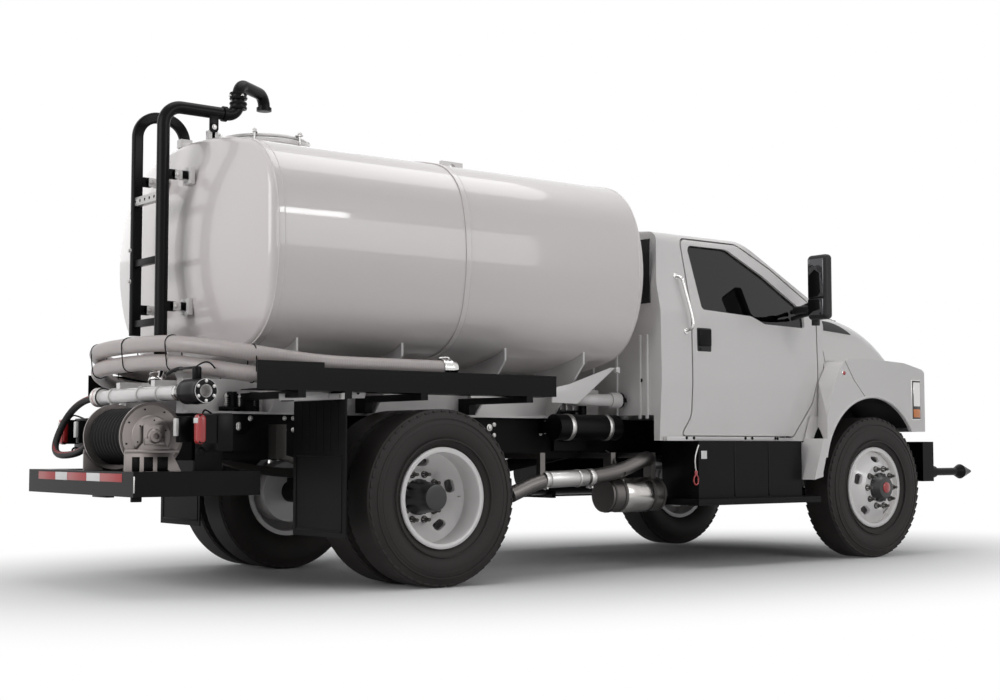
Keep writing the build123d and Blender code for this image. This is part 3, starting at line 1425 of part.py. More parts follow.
# Rear pump line: a white pipe across the truck with the black valve on its right end, the
# chrome fill coupling at the foot of the fill pipe, and the swivel that feeds the reel's hose
manifold_x = tank_rear_x - 260
manifold_z = 1130
manifold_radius = 43
manifold_y_range = (-690, 360)
valve_y_range = (-1000, -770)
valve_radius = 68
valve_handle_height = 130
union_radius = 58
union_y_range = (360, 440)
fill_foot_y = -190
cam_coupling_radius = 46
cam_bore_radius = 34
cam_coupling_length = 125
cam_bore_depth = 70
coupling_lean_shares = (-0.34, -0.34, -0.87)
manifold_post_y = (-330, 150)
post_half_width = 25

with BuildPart() as rear_manifold:
    rod((manifold_x, manifold_y_range[0], manifold_z), (manifold_x, manifold_y_range[1], manifold_z),
        manifold_radius)
    cone((manifold_x, manifold_y_range[0], manifold_z), (manifold_x, valve_y_range[1], manifold_z),
         manifold_radius, valve_radius)
    rod((manifold_x, valve_y_range[1], manifold_z), (manifold_x, valve_y_range[0], manifold_z), valve_radius)
    rod((manifold_x, valve_y_range[0] - overrun, manifold_z),
        (manifold_x, valve_y_range[0] + cam_bore_depth, manifold_z), cam_bore_radius, Mode.SUBTRACT)
    rod((manifold_x, sum(valve_y_range) / 2, manifold_z),
        (manifold_x, sum(valve_y_range) / 2, manifold_z + valve_handle_height), valve_radius / 3)
    rod((manifold_x, union_y_range[0], manifold_z), (manifold_x, union_y_range[1], manifold_z), union_radius)
    for y in manifold_post_y:
        block((manifold_x, sill_rear_x - seat_gap), (y - post_half_width, y + post_half_width),
              (manifold_z + manifold_radius / 2, rear_beam_z[1]))
save("rear_manifold", rear_manifold.part)

with BuildPart() as fill_coupling:
    top = Vector(ladder_x, fill_foot_y, fill_foot_z - seat_gap)
    turn = top - Vector(0, 0, fill_collar_radius)
    away = Vector(*coupling_lean_shares).normalized()
    tip = turn + away * cam_coupling_length
    rod(top, turn, fill_collar_radius)
    with Locations(turn):
        Sphere(fill_collar_radius)
    rod(turn, tip, cam_coupling_radius)
    rod(tip - away * cam_bore_depth, tip + away * fill_radius, cam_bore_radius, Mode.SUBTRACT)
print("fill coupling tip", [round(value, 1) for value in tip])
save("fill_coupling", fill_coupling.part)

# Rear bumper with its deck, the hose reel on the deck, and the tail lamps
rear_bumper_x = (tank_rear_x - 566, tank_rear_x - 450)
rear_bumper_half_width = 760
rear_bumper_z = (552, 690)
side_beam_y = (700, 760)
side_beam_front_x = tank_rear_x + 210
deck_z = (574, 586)
hanger_plate_y = (rail_outer_y + seat_gap, rail_outer_y + 22)
hanger_plate_x = (tank_rear_x - 50, tank_rear_x + 125)
reel_x = tank_rear_x - 380
reel_z = 885
reel_y_range = (-580, -80)
reel_flange_radius = 190
reel_flange_thickness = 8
reel_hub_radius = 60
reel_shaft_radius = 16
reel_coil_radius = 165
reel_post_thickness = 12
reel_post_gap = 14
reel_post_half_length = 60
reel_swivel_radius = 32
feed_hose_radius = 22
lamp_y = (925, 985)
lamp_x = (tank_rear_x - 290, tank_rear_x - 245)
lamp_z = (845, 1000)
lamp_bracket_x = (tank_rear_x - 170, tank_rear_x - 130)

with BuildPart() as rear_bumper:
    half = rear_bumper_half_width
    block(rear_bumper_x, (-half, half), rear_bumper_z)
    block((rear_bumper_x[0] + reel_post_thickness, rear_bumper_x[1] + overrun),
          (-half + reel_post_thickness, half - reel_post_thickness),
          (rear_bumper_z[0] + reel_post_thickness, rear_bumper_z[1] - reel_post_thickness), Mode.SUBTRACT)
    pair_block((rear_bumper_x[1] - overrun, side_beam_front_x), side_beam_y, rear_bumper_z)
    block((rear_bumper_x[1] - overrun, side_beam_front_x), (-side_beam_y[1], side_beam_y[1]), deck_z)
    beam_x = (hanger_plate_x[0], hanger_plate_x[1])
    pair_block(beam_x, (hanger_plate_y[0], hanger_plate_y[1]), (deck_z[0], rail_top_z - 2 * rail_wall))

post_out_y = (reel_y_range[0] - reel_post_gap, reel_y_range[1] + reel_post_gap)
with BuildPart() as reel_frame:
    for side, y in ((-1, post_out_y[0]), (1, post_out_y[1])):
        near, away = sorted((y, y + side * reel_post_thickness))
        block((reel_x - reel_post_half_length, reel_x + reel_post_half_length), (near, away),
              (deck_z[1] + seat_gap, reel_z + reel_post_half_length))
        low_y, high_y = sorted((y, y + side * 5 * reel_post_thickness))
        block((reel_x - reel_post_half_length, reel_x + reel_post_half_length), (low_y, high_y),
              (deck_z[1] + seat_gap, deck_z[1] + reel_post_thickness))
        rod((reel_x, y - side * overrun, reel_z), (reel_x, y + side * overrun, reel_z),
            reel_shaft_radius + running_gap, Mode.SUBTRACT)
with BuildPart() as bumper_and_frame:
    add(rear_bumper.part)
    add(reel_frame.part)
save("rear_bumper", bumper_and_frame.part)

with BuildPart() as reel_drum:
    for y, side in ((reel_y_range[0], 1), (reel_y_range[1], -1)):
        rod((reel_x, y, reel_z), (reel_x, y + side * reel_flange_thickness, reel_z), reel_flange_radius)
    rod((reel_x, reel_y_range[0], reel_z), (reel_x, reel_y_range[1], reel_z), reel_hub_radius)
    rod((reel_x, post_out_y[0] - 3 * reel_post_thickness, reel_z),
        (reel_x, post_out_y[1] + 3 * reel_post_thickness, reel_z), reel_shaft_radius)
save("reel_drum", reel_drum.part)

with BuildPart() as reel_hose:
    ends = (reel_y_range[0] + reel_flange_thickness + seat_gap, reel_y_range[1] - reel_flange_thickness - seat_gap)
    rod((reel_x, ends[0], reel_z), (reel_x, ends[1], reel_z), reel_coil_radius)
    rod((reel_x, ends[0] - overrun, reel_z), (reel_x, ends[1] + overrun, reel_z), reel_hub_radius + seat_gap,
        Mode.SUBTRACT)
save("reel_hose", reel_hose.part)

with BuildPart() as tail_lamps:
    pair_block(lamp_x, lamp_y, lamp_z)
    for side in (-1, 1):
        y_range = sorted((side * (rail_outer_y + seat_gap), side * lamp_y[1]))
        block((lamp_bracket_x[0], lamp_bracket_x[1]), y_range, (lamp_z[1] - overrun, lamp_z[1]))
        block((lamp_x[1] - seat_gap, lamp_bracket_x[1]), sorted((side * lamp_y[0], side * lamp_y[1])),
              (lamp_z[0], lamp_z[1]))
save("tail_lamps", tail_lamps.part)

# Feed hose from the union down to the left end of the reel's shaft, hanging in a free loop
feed_start = (manifold_x, union_y_range[1] + seat_gap, manifold_z)
reel_swivel_y = post_out_y[1] + 3 * reel_post_thickness + seat_gap
feed_route = [feed_start, (manifold_x, 800, manifold_z), (tank_rear_x - 390, 905, 775),
              (tank_rear_x - 390, 420, 775), (reel_x, 200, reel_z), (reel_x, reel_swivel_y, reel_z)]
with BuildPart() as feed_hose:
    length = tube(feed_route, route_radii(feed_route), feed_hose_radius)
print("feed_hose", round(length), [round(radius) for radius in route_radii(feed_route)],
      len(feed_hose.part.solids()), round(feed_hose.part.volume / (pi * feed_hose_radius ** 2 * length), 3))
save("feed_hose", feed_hose.part)

# Mirrors on the doors
mirror_x = (front_axle_x - 850, front_axle_x - 770)
mirror_y = (1245, 1425)
mirror_z = (1735, 2200)
mirror_arm_z = 1800
mirror_arm_radius = 16
mirror_arm_x = front_axle_x - 700
mirror_rounding = 30
with BuildPart() as mirror_right:
    x, length = span(*mirror_x)
    y, width = span(-mirror_y[1], -mirror_y[0])
    z, height = span(*mirror_z)
    with Locations((x, y, z)):
        Box(length, width, height)
    fillet(mirror_right.edges(), mirror_rounding)
    for lift in (0, mirror_arm_radius * 5):
        rod((x, y, mirror_arm_z + lift), (mirror_arm_x, -0.9 * cab_half_width, mirror_arm_z + lift / 2 - overrun),
            mirror_arm_radius)
    add(cab_form(-seat_gap), mode=Mode.SUBTRACT)
print("mirror solids", len(mirror_right.part.solids()))
mirror_left = mirrored(mirror_right)
save("mirror_right", mirror_right.part)
save("mirror_left", mirror_left.part)
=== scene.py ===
# %% [markdown]
# # A water tank truck
# The part comes in as a frame of CAD solids that already have the truck's sizes. This lesson
# dresses them: paint, rubber, glass and chrome, then the small pieces that make the eye
# believe the big ones, such as bolts, clamps, tread blocks and hose ribs.

# %% Open the frame
import bpy
import bmesh
from math import cos, pi, radians, sin, sqrt
from mathutils import Matrix, Vector


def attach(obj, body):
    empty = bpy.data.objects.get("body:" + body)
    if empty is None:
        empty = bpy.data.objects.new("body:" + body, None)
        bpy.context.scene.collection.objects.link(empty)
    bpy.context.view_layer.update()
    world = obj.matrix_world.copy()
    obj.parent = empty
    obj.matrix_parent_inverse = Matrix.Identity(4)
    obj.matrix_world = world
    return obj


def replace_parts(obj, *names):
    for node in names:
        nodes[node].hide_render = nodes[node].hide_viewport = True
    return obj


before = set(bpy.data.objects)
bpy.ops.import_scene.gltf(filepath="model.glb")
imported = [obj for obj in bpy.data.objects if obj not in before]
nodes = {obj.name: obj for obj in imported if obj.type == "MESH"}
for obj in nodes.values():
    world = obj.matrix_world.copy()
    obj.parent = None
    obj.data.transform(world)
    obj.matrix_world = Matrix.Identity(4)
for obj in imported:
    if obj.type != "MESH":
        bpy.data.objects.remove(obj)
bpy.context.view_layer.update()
front_axle = 2.238

# %% [markdown]
# ## Camera
# The photograph was taken from behind the truck's right side, a little below the height of a
# door handle. The camera's place and lens were worked out once from the wheels, the tank and the
# cab, so the scene only states them. Its upward tilt is a few degrees.

# %% Camera
camera_data = bpy.data.cameras.new("camera")
camera_data.lens = 54.9
camera_data.sensor_width = 36
camera_data.clip_end = 200
camera = bpy.data.objects.new("camera", camera_data)
bpy.context.scene.collection.objects.link(camera)
camera.location = (front_axle - 9.289, -8.51, 0.821)
heading, tilt = 0.91, 0.064
gaze = Vector((cos(tilt) * cos(heading), cos(tilt) * sin(heading), sin(tilt)))
camera.rotation_euler = gaze.to_track_quat("-Z", "Y").to_euler()
bpy.context.scene.camera = camera
bpy.context.scene.view_settings.view_transform = "Standard"

# %% [markdown]
# ## Small helpers
# Every new piece goes the same way: add a primitive, shape it in edit mode, apply its place to
# its mesh, give it a finish and say which body it rides on. Pieces are drawn with x counted from
# the front axle, which keeps their numbers close to those of the drawing, and settling a piece
# moves it into the scene. An operator works on whatever is selected, so each helper starts by
# selecting only its own object.

# %% Helpers for pieces
to_scene = Vector((front_axle, 0, 0))
hands = ((-1, "right"), (1, "left"))
along_x, along_y, upwards, rightwards, backwards = (1, 0, 0), (0, 1, 0), (0, 0, 1), (0, -1, 0), (-1, 0, 0)


def take(obj):
    """Select only this object and make it the active one."""
    bpy.ops.object.select_all(action="DESELECT")
    obj.select_set(True)
    bpy.context.view_layer.objects.active = obj
    return obj


def shape(obj, *steps):
    """Run mesh operators, each with its settings, on the whole of one object."""
    take(obj)
    bpy.ops.object.mode_set(mode="EDIT")
    bpy.ops.mesh.select_all(action="SELECT")
    for operator, settings in steps:
        operator(**settings)
    bpy.ops.object.mode_set(mode="OBJECT")
    return obj


outward = (bpy.ops.mesh.normals_make_consistent, dict(inside=False))


def bake_place(obj):
    take(obj)
    bpy.ops.object.transform_apply(location=True, rotation=True, scale=True)
    return obj


def settle(obj, name, finish, body="truck", smooth=35):
    """Name a finished piece, move it into the scene, give it its finish and let it ride on its body."""
    bake_place(obj)
    obj.data.transform(Matrix.Translation(to_scene))
    obj.name = name
    obj.data.name = name
    obj.data.materials.clear()
    obj.data.materials.append(finish)
    bpy.ops.object.shade_smooth_by_angle(angle=radians(smooth))
    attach(obj, body)
    return obj


def both_sides(piece, name, finish, body="truck", smooth=35):
    """Settle a right-hand piece and its mirrored twin; a door's pieces ride on their own door."""
    bake_place(piece)
    twin = piece.copy()
    twin.data = piece.data.copy()
    bpy.context.scene.collection.objects.link(twin)
    twin.data.transform(Matrix.Scale(-1, 4, along_y))
    twin.data.flip_normals()
    for obj, hand in ((piece, "_right"), (twin, "_left")):
        settle(obj, name + hand, finish, body + hand if body == "door" else body, smooth)


def join(pieces):
    """Several meshes become one, the first of the list."""
    bpy.ops.object.select_all(action="DESELECT")
    for piece in pieces:
        piece.select_set(True)
    bpy.context.view_layer.objects.active = pieces[0]
    if len(pieces) > 1:
        bpy.ops.object.join()
    return pieces[0]


def plate(low, high, bevel=0.002, segments=2):
    """A block between two corners, with its edges broken."""
    bpy.ops.object.select_all(action="DESELECT")
    bpy.ops.mesh.primitive_cube_add(size=1, location=[(a + b) / 2 for a, b in zip(low, high)])
    obj = bpy.context.object
    obj.scale = [abs(b - a) for a, b in zip(low, high)]
    return shape(bake_place(obj), (bpy.ops.mesh.bevel, dict(offset=bevel, segments=segments, affect="EDGES")))


def bar(start, end, radius, sides=24, bevel=0.0):
    """A round bar, or with few sides a nut, between two points, its ends broken."""
    start, end = Vector(start), Vector(end)
    bpy.ops.object.select_all(action="DESELECT")
    bpy.ops.mesh.primitive_cylinder_add(vertices=sides, radius=radius, depth=(end - start).length)
    obj = bpy.context.object
    if bevel:
        bpy.ops.object.mode_set(mode="EDIT")
        bpy.ops.mesh.select_mode(type="FACE")
        bpy.ops.mesh.select_all(action="DESELECT")
        mesh = bmesh.from_edit_mesh(obj.data)
        for face in mesh.faces:
            face.select = abs(face.normal.z) > 0.9
        bmesh.update_edit_mesh(obj.data)
        bpy.ops.mesh.bevel(offset=bevel, segments=2, affect="EDGES")
        bpy.ops.object.mode_set(mode="OBJECT")
    obj.rotation_mode = "QUATERNION"
    obj.rotation_quaternion = (end - start).to_track_quat("Z", "Y")
    obj.location = (start + end) / 2
    return bake_place(obj)


def curve_through(name, points, radius, rounding, resolution):
    """A curve object with a round section that runs softly through the middle of each run of points."""
    data = bpy.data.curves.new(name, "CURVE")
    data.dimensions = "3D"
    data.bevel_depth = radius
    data.bevel_resolution = rounding
    data.resolution_u = resolution
    data.use_fill_caps = True
    spline = data.splines.new("NURBS")
    spline.points.add(len(points) - 1)
    for at, place in zip(spline.points, points):
        at.co = (*place, 1)
    spline.order_u = 3
    spline.use_endpoint_u = True
    obj = bpy.data.objects.new(name, data)
    bpy.context.scene.collection.objects.link(obj)
    return obj


def tube_along(points, radius, sides=8, cyclic=False, smooth=True):
    """A pipe, strap or cable that follows points; smooth runs through them as a curve."""
    obj = curve_through("route", points, radius, max(1, sides // 4), 8)
    spline = obj.data.splines[0]
    spline.use_endpoint_u = not cyclic
    spline.use_cyclic_u = cyclic
    if not smooth:
        spline.type = "POLY"
    take(obj)
    bpy.ops.object.convert(target="MESH")
    return bpy.context.object


def mesh_piece(verts, faces, edges=()):
    mesh = bpy.data.meshes.new("piece")
    mesh.from_pydata(verts, edges, faces)
    obj = bpy.data.objects.new("piece", mesh)
    bpy.context.scene.collection.objects.link(obj)
    return obj


def sheet(verts, faces, thickness):
    return shape(mesh_piece(verts, faces), outward, (bpy.ops.mesh.solidify, dict(thickness=thickness)))


def grid_faces(rows, columns):
    """Faces between rows + 1 lines of columns + 1 points."""
    wide = columns + 1
    return [(i * wide + j, i * wide + j + 1, (i + 1) * wide + j + 1, (i + 1) * wide + j)
            for i in range(rows) for j in range(columns)]


def turned(profile, centre, axis, steps=48, closed=False):
    """Spin a profile of (distance along the axis, radius) about an axis through centre."""
    axis = Vector(axis).normalized()
    side = axis.orthogonal().normalized()
    count = len(profile)
    points = [Vector(centre) + axis * distance + side * radius for distance, radius in profile]
    edges = [(n, (n + 1) % count) for n in range(count if closed else count - 1)]
    return shape(mesh_piece(points, [], edges),
                 (bpy.ops.mesh.spin, dict(steps=steps, angle=2 * pi, center=centre, axis=axis)),
                 (bpy.ops.mesh.select_all, dict(action="SELECT")),
                 (bpy.ops.mesh.remove_doubles, dict(threshold=0.00005)), outward)


def collar(start, end, radius, inner, centre, axis, steps=40, last=None):
    """A ring with broken outer edges, from start to end along an axis."""
    return turned([(start, inner), (start, radius - 0.002), (start + 0.002, radius), (end - 0.002, radius),
                   (end, radius - 0.002), (end, last or inner)], centre, axis, steps)


def copies(model, matrices):
    """The model once for each matrix, each with a mesh of its own, joined; the model is used up."""
    made = []
    for matrix in matrices:
        twin = model.copy()
        twin.data = model.data.copy()
        twin.data.transform(matrix)
        bpy.context.scene.collection.objects.link(twin)
        made.append(twin)
    bpy.data.objects.remove(model)
    return join(made)


def facing_matrix(axis):
    return Vector(axis).to_track_quat("Z", "Y").to_matrix().to_4x4()


def hex_bolts(places, axis, radius, height):
    """Hexagon heads on their washers at several places, all pointing along one axis."""
    model = join([bar((0, 0, 0), (0, 0, height), radius, sides=6, bevel=radius * 0.12),
                  bar((0, 0, 0), (0, 0, height * 0.3), radius * 1.45, sides=20, bevel=height * 0.06)])
    return copies(model, [Matrix.Translation(place) @ facing_matrix(axis) for place in places])


def circle(count, radius, start=0.0):
    """Count steps round a circle, as (cosine, sine) times its radius."""
    return [(radius * cos(2 * pi * (n + start) / count), radius * sin(2 * pi * (n + start) / count))
            for n in range(count)]

# %% [markdown]
# ## Effects that several finishes share
# Dust settles low on a truck and in uneven patches, and paint is never quite flat. Each of these
# is a node group with named sockets, so that the white paint, the black paint and the rubber can
# use it with their own values. The groups read Object coordinates, which are metres here.

# %% Shared effects
def new_group(name, outputs, **inputs):
    group = bpy.data.node_groups.new(name, "ShaderNodeTree")
    for label, value in inputs.items():
        group.interface.new_socket(name=label, in_out="INPUT",
                                   socket_type="NodeSocketFloat").default_value = value
    for label in outputs:
        group.interface.new_socket(name=label, in_out="OUTPUT", socket_type="NodeSocketFloat")
    return group, group.nodes.new("NodeGroupInput").outputs, group.nodes.new("NodeGroupOutput").inputs


def node(tree, kind, links=(), **settings):
    """A node with its settings, and (socket, source) pairs plugged in; a node stands for its first output."""
    made = tree.nodes.new("ShaderNode" + kind)
    for key, value in settings.items():
        setattr(made, key, value)
    for socket, source in links:
        if isinstance(source, bpy.types.Node):
            source = source.outputs[0]
        if hasattr(source, "is_output"):
            tree.links.new(source, made.inputs[socket])
        else:
            made.inputs[socket].default_value = source
    return made


def maths(tree, operation, first, second, **settings):
    return node(tree, "Math", [(0, first), (1, second)], operation=operation, **settings)


# Dust: more of it low down, broken up by noise
dust, dust_in, dust_out = new_group("road_dust", ["Mask"], Low=0.3, High=1.2, Strength=0.5, Scale=3.0)
place = node(dust, "TexCoord").outputs["Object"]
split = node(dust, "SeparateXYZ", [("Vector", place)])
fall = node(dust, "MapRange", [("Value", split.outputs["Z"]), ("From Min", dust_in["Low"]),
                               ("From Max", dust_in["High"]), ("To Min", 1.0), ("To Max", 0.0)])
cloud = node(dust, "TexNoise", [("Vector", place), ("Scale", dust_in["Scale"]), ("Detail", 6.0),
                                ("Roughness", 0.65)])
lift = node(dust, "MapRange", [("Value", cloud), ("From Min", 0.35), ("From Max", 0.75)])
amount = maths(dust, "MULTIPLY", maths(dust, "MULTIPLY", fall, lift), dust_in["Strength"], use_clamp=True)
dust.links.new(amount.outputs[0], dust_out["Mask"])

# Ripple: fine unevenness, as height for a bump
ripple, ripple_in, ripple_out = new_group("fine_ripple", ["Height", "Patch"], Scale=60.0, Detail=2.0)
place = node(ripple, "TexCoord").outputs["Object"]
fine = node(ripple, "TexNoise", [("Vector", place), ("Scale", ripple_in["Scale"]),
                                 ("Detail", ripple_in["Detail"])])
broad = node(ripple, "TexNoise", [("Vector", place), ("Scale", 1.7), ("Detail", 3.0)])
ripple.links.new(fine.outputs["Fac"], ripple_out["Height"])
ripple.links.new(broad.outputs["Fac"], ripple_out["Patch"])

# %% [markdown]
# ## Finishes
# Each finish is one Principled shader. What changes over the surface comes from the groups above
# through a mix or a mapped range; what is the same all over, such as metallic or coat, is a
# plain number on the shader itself.

# %% Helpers for finishes
def finish_of(name, colour, roughness, **extra):
    """A material, its node tree and its shader's inputs; extra names inputs with _ for a space."""
    material = bpy.data.materials.new(name)
    material.use_nodes = True
    inputs = material.node_tree.nodes["Principled BSDF"].inputs
    inputs["Base Color"].default_value = (*colour, 1)
    inputs["Roughness"].default_value = roughness
    inputs["Coat Roughness"].default_value = 0.05
    for label, value in extra.items():
        inputs[label.replace("_", " ")].default_value = value
    return material, material.node_tree, inputs


def grouped(tree, group, **values):
    made = tree.nodes.new("ShaderNodeGroup")
    made.node_tree = group
    for label, value in values.items():
        made.inputs[label].default_value = value
    return made.outputs


def mix_colour(tree, factor, first, second):
    made = node(tree, "Mix", data_type="RGBA")
    for socket, source in ((0, factor), (6, first), (7, second)):
        if hasattr(source, "is_output"):
            tree.links.new(source, made.inputs[socket])
        else:
            made.inputs[socket].default_value = (*source, 1)
    return made.outputs[2]


def bumped(tree, inputs, height, strength):
    bump = node(tree, "Bump", [("Height", height), ("Strength", strength), ("Distance", 0.002)])
    tree.links.new(bump.outputs["Normal"], inputs["Normal"])


sooty, rusty = (0.06, 0.055, 0.05), (0.16, 0.13, 0.11)


def painted(name, colour, roughness, dusty=0.3, dust_colour=(0.42, 0.38, 0.34), coat=0.0, grain=160.0,
            bump=0.03, low=0.3, high=1.3, metallic=0.0, shade=0.05, gleam=0.5, **extra):
    """Paint, plastic or metal: a little uneven in colour and gloss, dusty low down."""
    material, tree, inputs = finish_of(name, colour, roughness, Metallic=metallic, Coat_Weight=coat,
                                       Specular_IOR_Level=gleam, **extra)
    waves = grouped(tree, ripple, Scale=grain, Detail=2.0)
    soil = grouped(tree, dust, Low=low, High=high, Strength=dusty, Scale=4.0)["Mask"]
    base = mix_colour(tree, waves["Patch"], tuple(channel * (1 - shade) for channel in colour), colour)
    tree.links.new(mix_colour(tree, soil, base, dust_colour), inputs["Base Color"])
    gloss = node(tree, "MapRange", [("Value", soil), ("To Min", roughness),
                                    ("To Max", min(1.0, roughness + 0.5))])
    tree.links.new(gloss.outputs[0], inputs["Roughness"])
    bumped(tree, inputs, waves["Height"], bump)
    return material


# %% Paints, metals and plastics
white_paint = painted("white_paint", (0.74, 0.72, 0.71), 0.3, dusty=0.1, coat=0.35, grain=220, bump=0.02,
                      low=0.5, high=1.2, shade=0.03)
tank_paint = painted("tank_paint", (0.7, 0.655, 0.645), 0.34, dusty=0.06, coat=0.8, grain=26, bump=0.05,
                     low=1.2, high=1.9, shade=0.03)
wheel_paint = painted("wheel_paint", (0.86, 0.84, 0.83), 0.28, dusty=0.05, coat=0.4, grain=200, bump=0.02,
                      shade=0.03)
black_paint = painted("black_paint", (0.005, 0.005, 0.0055), 0.3, dusty=0.06, dust_colour=sooty,
                      grain=260, bump=0.05, low=0.4, high=1.4, shade=0.2, gleam=0.1)
frame_paint = painted("frame_paint", (0.005, 0.005, 0.005), 0.5, dusty=0.1, dust_colour=(0.06, 0.05, 0.045),
                      grain=140, bump=0.1, low=0.4, high=1.4, shade=0.25, gleam=0.08)
raw_steel = painted("raw_steel", (0.1, 0.095, 0.09), 0.55, dusty=0.2, dust_colour=rusty, grain=120, bump=0.15,
                    metallic=0.6, shade=0.3)
pipe_steel = painted("pipe_steel", (0.17, 0.16, 0.155), 0.34, dusty=0.12, dust_colour=rusty, grain=60,
                     bump=0.1, metallic=0.95, shade=0.35)
reel_steel = painted("reel_steel", (0.3, 0.27, 0.26), 0.36, dusty=0.1, grain=300, bump=0.05, metallic=0.85,
                     shade=0.15)
chrome = painted("chrome", (0.66, 0.65, 0.64), 0.13, dusty=0.08, grain=30, bump=0.02, metallic=1, shade=0.06)
zinc = painted("zinc", (0.55, 0.54, 0.53), 0.38, dusty=0.1, grain=180, bump=0.05, metallic=0.95, shade=0.12)
rubber = painted("rubber", (0.008, 0.008, 0.008), 0.6, dusty=0.1, dust_colour=(0.07, 0.06, 0.055), grain=90,
                 bump=0.12, shade=0.2, high=1.1, gleam=0.12)
tyre_rubber = painted("tyre_rubber", (0.02, 0.017, 0.016), 0.6, dusty=0.3, dust_colour=(0.085, 0.07, 0.065),
                      grain=70, bump=0.16, low=0, high=1, shade=0.25, gleam=0.3)
black_hub = painted("black_hub", (0.007, 0.007, 0.0075), 0.28, dusty=0.08, dust_colour=sooty, grain=200,
                    bump=0.04, coat=0.2)
hose_plastic = painted("hose_plastic", (0.5, 0.455, 0.445), 0.36, dusty=0.12, dust_colour=(0.36, 0.31, 0.3),
                       grain=34, low=0.8, high=1.9, shade=0.16, Subsurface_Weight=0.15, Subsurface_Scale=0.02)
trim_plastic = painted("trim_plastic", (0.009, 0.009, 0.01), 0.42, dusty=0.05, grain=420, bump=0.12, high=1.9,
                       shade=0.12, gleam=0.3)
cab_trim = painted("cab_trim", (0.11, 0.105, 0.1), 0.7, dusty=0.02, grain=300, bump=0.2, shade=0.1)
seat_cloth = painted("seat_cloth", (0.07, 0.068, 0.066), 0.85, dusty=0.02, grain=600, bump=0.35, shade=0.2)
red_plastic = painted("red_plastic", (0.42, 0.018, 0.02), 0.22, dusty=0.04, coat=0.5, grain=60, bump=0.02)
white_plastic = painted("white_plastic", (0.82, 0.82, 0.8), 0.25, dusty=0.03, coat=0.4, grain=60, bump=0.02)
red_paint = painted("red_paint", (0.4, 0.03, 0.03), 0.4, dusty=0.1, grain=140, bump=0.04)
tape_red = painted("tape_red", (0.42, 0.022, 0.026), 0.32, dusty=0.1, grain=240, bump=0.1, shade=0.25)
tape_white = painted("tape_white", (0.74, 0.73, 0.73), 0.3, dusty=0.08, grain=240, bump=0.1, shade=0.08)
foil = painted("foil", (0.62, 0.6, 0.58), 0.22, dusty=0.12, grain=48, bump=0.6, metallic=1, shade=0.3)

# %% [markdown]
# The window glass has a near-black tint, painted shade for the dark cab behind it, and little
# gloss. Lamp glass is clear and slightly rough.

# %% Glass
# painted shade: the window glass is tinted near black so that the cab behind it reads dark
window_glass = finish_of("window_glass", (0.016, 0.017, 0.018), 0.02, Transmission_Weight=1, IOR=1.45,
                         Specular_IOR_Level=0.15)[0]
lamp_glass = finish_of("lamp_glass", (0.92, 0.93, 0.95), 0.05, Transmission_Weight=1, IOR=1.45)[0]
dark_glass = finish_of("dark_glass", (0.006, 0.006, 0.007), 0.06, Coat_Weight=0.3)[0]
mirror_finish = finish_of("mirror_finish", (0.1, 0.1, 0.105), 0.05, Metallic=1)[0]
amber_glass = finish_of("amber_glass", (0.75, 0.22, 0.03), 0.15, Coat_Weight=0.5)[0]

# %% [markdown]
# ## Dress the frame
# A CAD node whose shape is right stays, and only its finish is changed. The table below gives
# each node its finish, by what the photograph shows.

# %% Finishes for the CAD nodes
dress = {
    white_paint: "cab_roof cab_back cab_front cab_floor door_right door_left hood_panel fender_rear_panels "
                 "tank_bed rear_manifold delivery_pipe lifting_lug manway_neck manway_lid",
    wheel_paint: "front_wheel_right front_wheel_left rear_wheels_right rear_wheels_left",
    tank_paint: "tank",
    black_paint: "front_bumper rear_bumper ladder fill_pipe side_boxes hose_trays tank_mounts air_tank "
                 "tail_lamps front_spray",
    frame_paint: "chassis_frame front_axle rear_axle driveshaft",
    raw_steel: "leaf_springs engine knuckle_right knuckle_left",
    pipe_steel: "exhaust",
    reel_steel: "reel_drum",
    chrome: "fill_coupling hose_couplings grille",
    rubber: "reel_hose mudflaps feed_hose suction_hose_upper suction_hose_lower",
    tyre_rubber: "front_tyre_right front_tyre_left rear_tyres_right rear_tyres_left",
    trim_plastic: "mirror_right mirror_left",
    cab_trim: "dashboard",
    seat_cloth: "bench_seat",
    window_glass: "windshield rear_window door_glass_right door_glass_left",
    lamp_glass: "headlamps",
}
for finish, names in dress.items():
    for name in names.split():
        piece = nodes[name]
        for slot in piece.material_slots:
            slot.material = finish
        if not piece.material_slots:
            piece.data.materials.append(finish)

# %% [markdown]
# ## Tyres
# The CAD tyre has the right section but a smooth tread. A road tyre's shoulder is broken by
# grooves, so the tread here is one block shaped once and copied round, with rings that lie
# between the rows. The sidewall gets the raised rings that a mould leaves.

# %% Tread and sidewall rings
tyre_radius = 0.525
rear_axle = -4.013
front_track, dual, rear_outer = 1.036, 0.318, 1.063
tread_rows = ((-0.103, 0.038), (-0.052, 0.04), (0, 0.04), (0.052, 0.04), (0.103, 0.038))
blocks = 54


def tread_of(name, body, x, y):
    """Blocks round the tyre at one place, a hair proud of the rubber."""
    models = []
    for number, (offset, wide) in enumerate(tread_rows):
        odd = number % 2
        model = shape(plate((-0.0235, -wide / 2, -0.009), (0.0235, wide / 2, 0.0035), 0.003),
                      (bpy.ops.transform.rotate, dict(value=0.18 if odd else -0.18, orient_axis="Z",
                                                      center_override=(0, 0, 0))))
        drop = 0.006 if number in (0, 4) else 0
        models.append(copies(model, [Matrix.Translation((x, y + offset, tyre_radius))
                                     @ Matrix.Rotation(2 * pi * (step + 0.5 * odd) / blocks, 4, "Y")
                                     @ Matrix.Translation((0, 0, tyre_radius - 0.0042 - drop))
                                     for step in range(blocks)]))
    settle(join(models), name, tyre_rubber, body, 30)


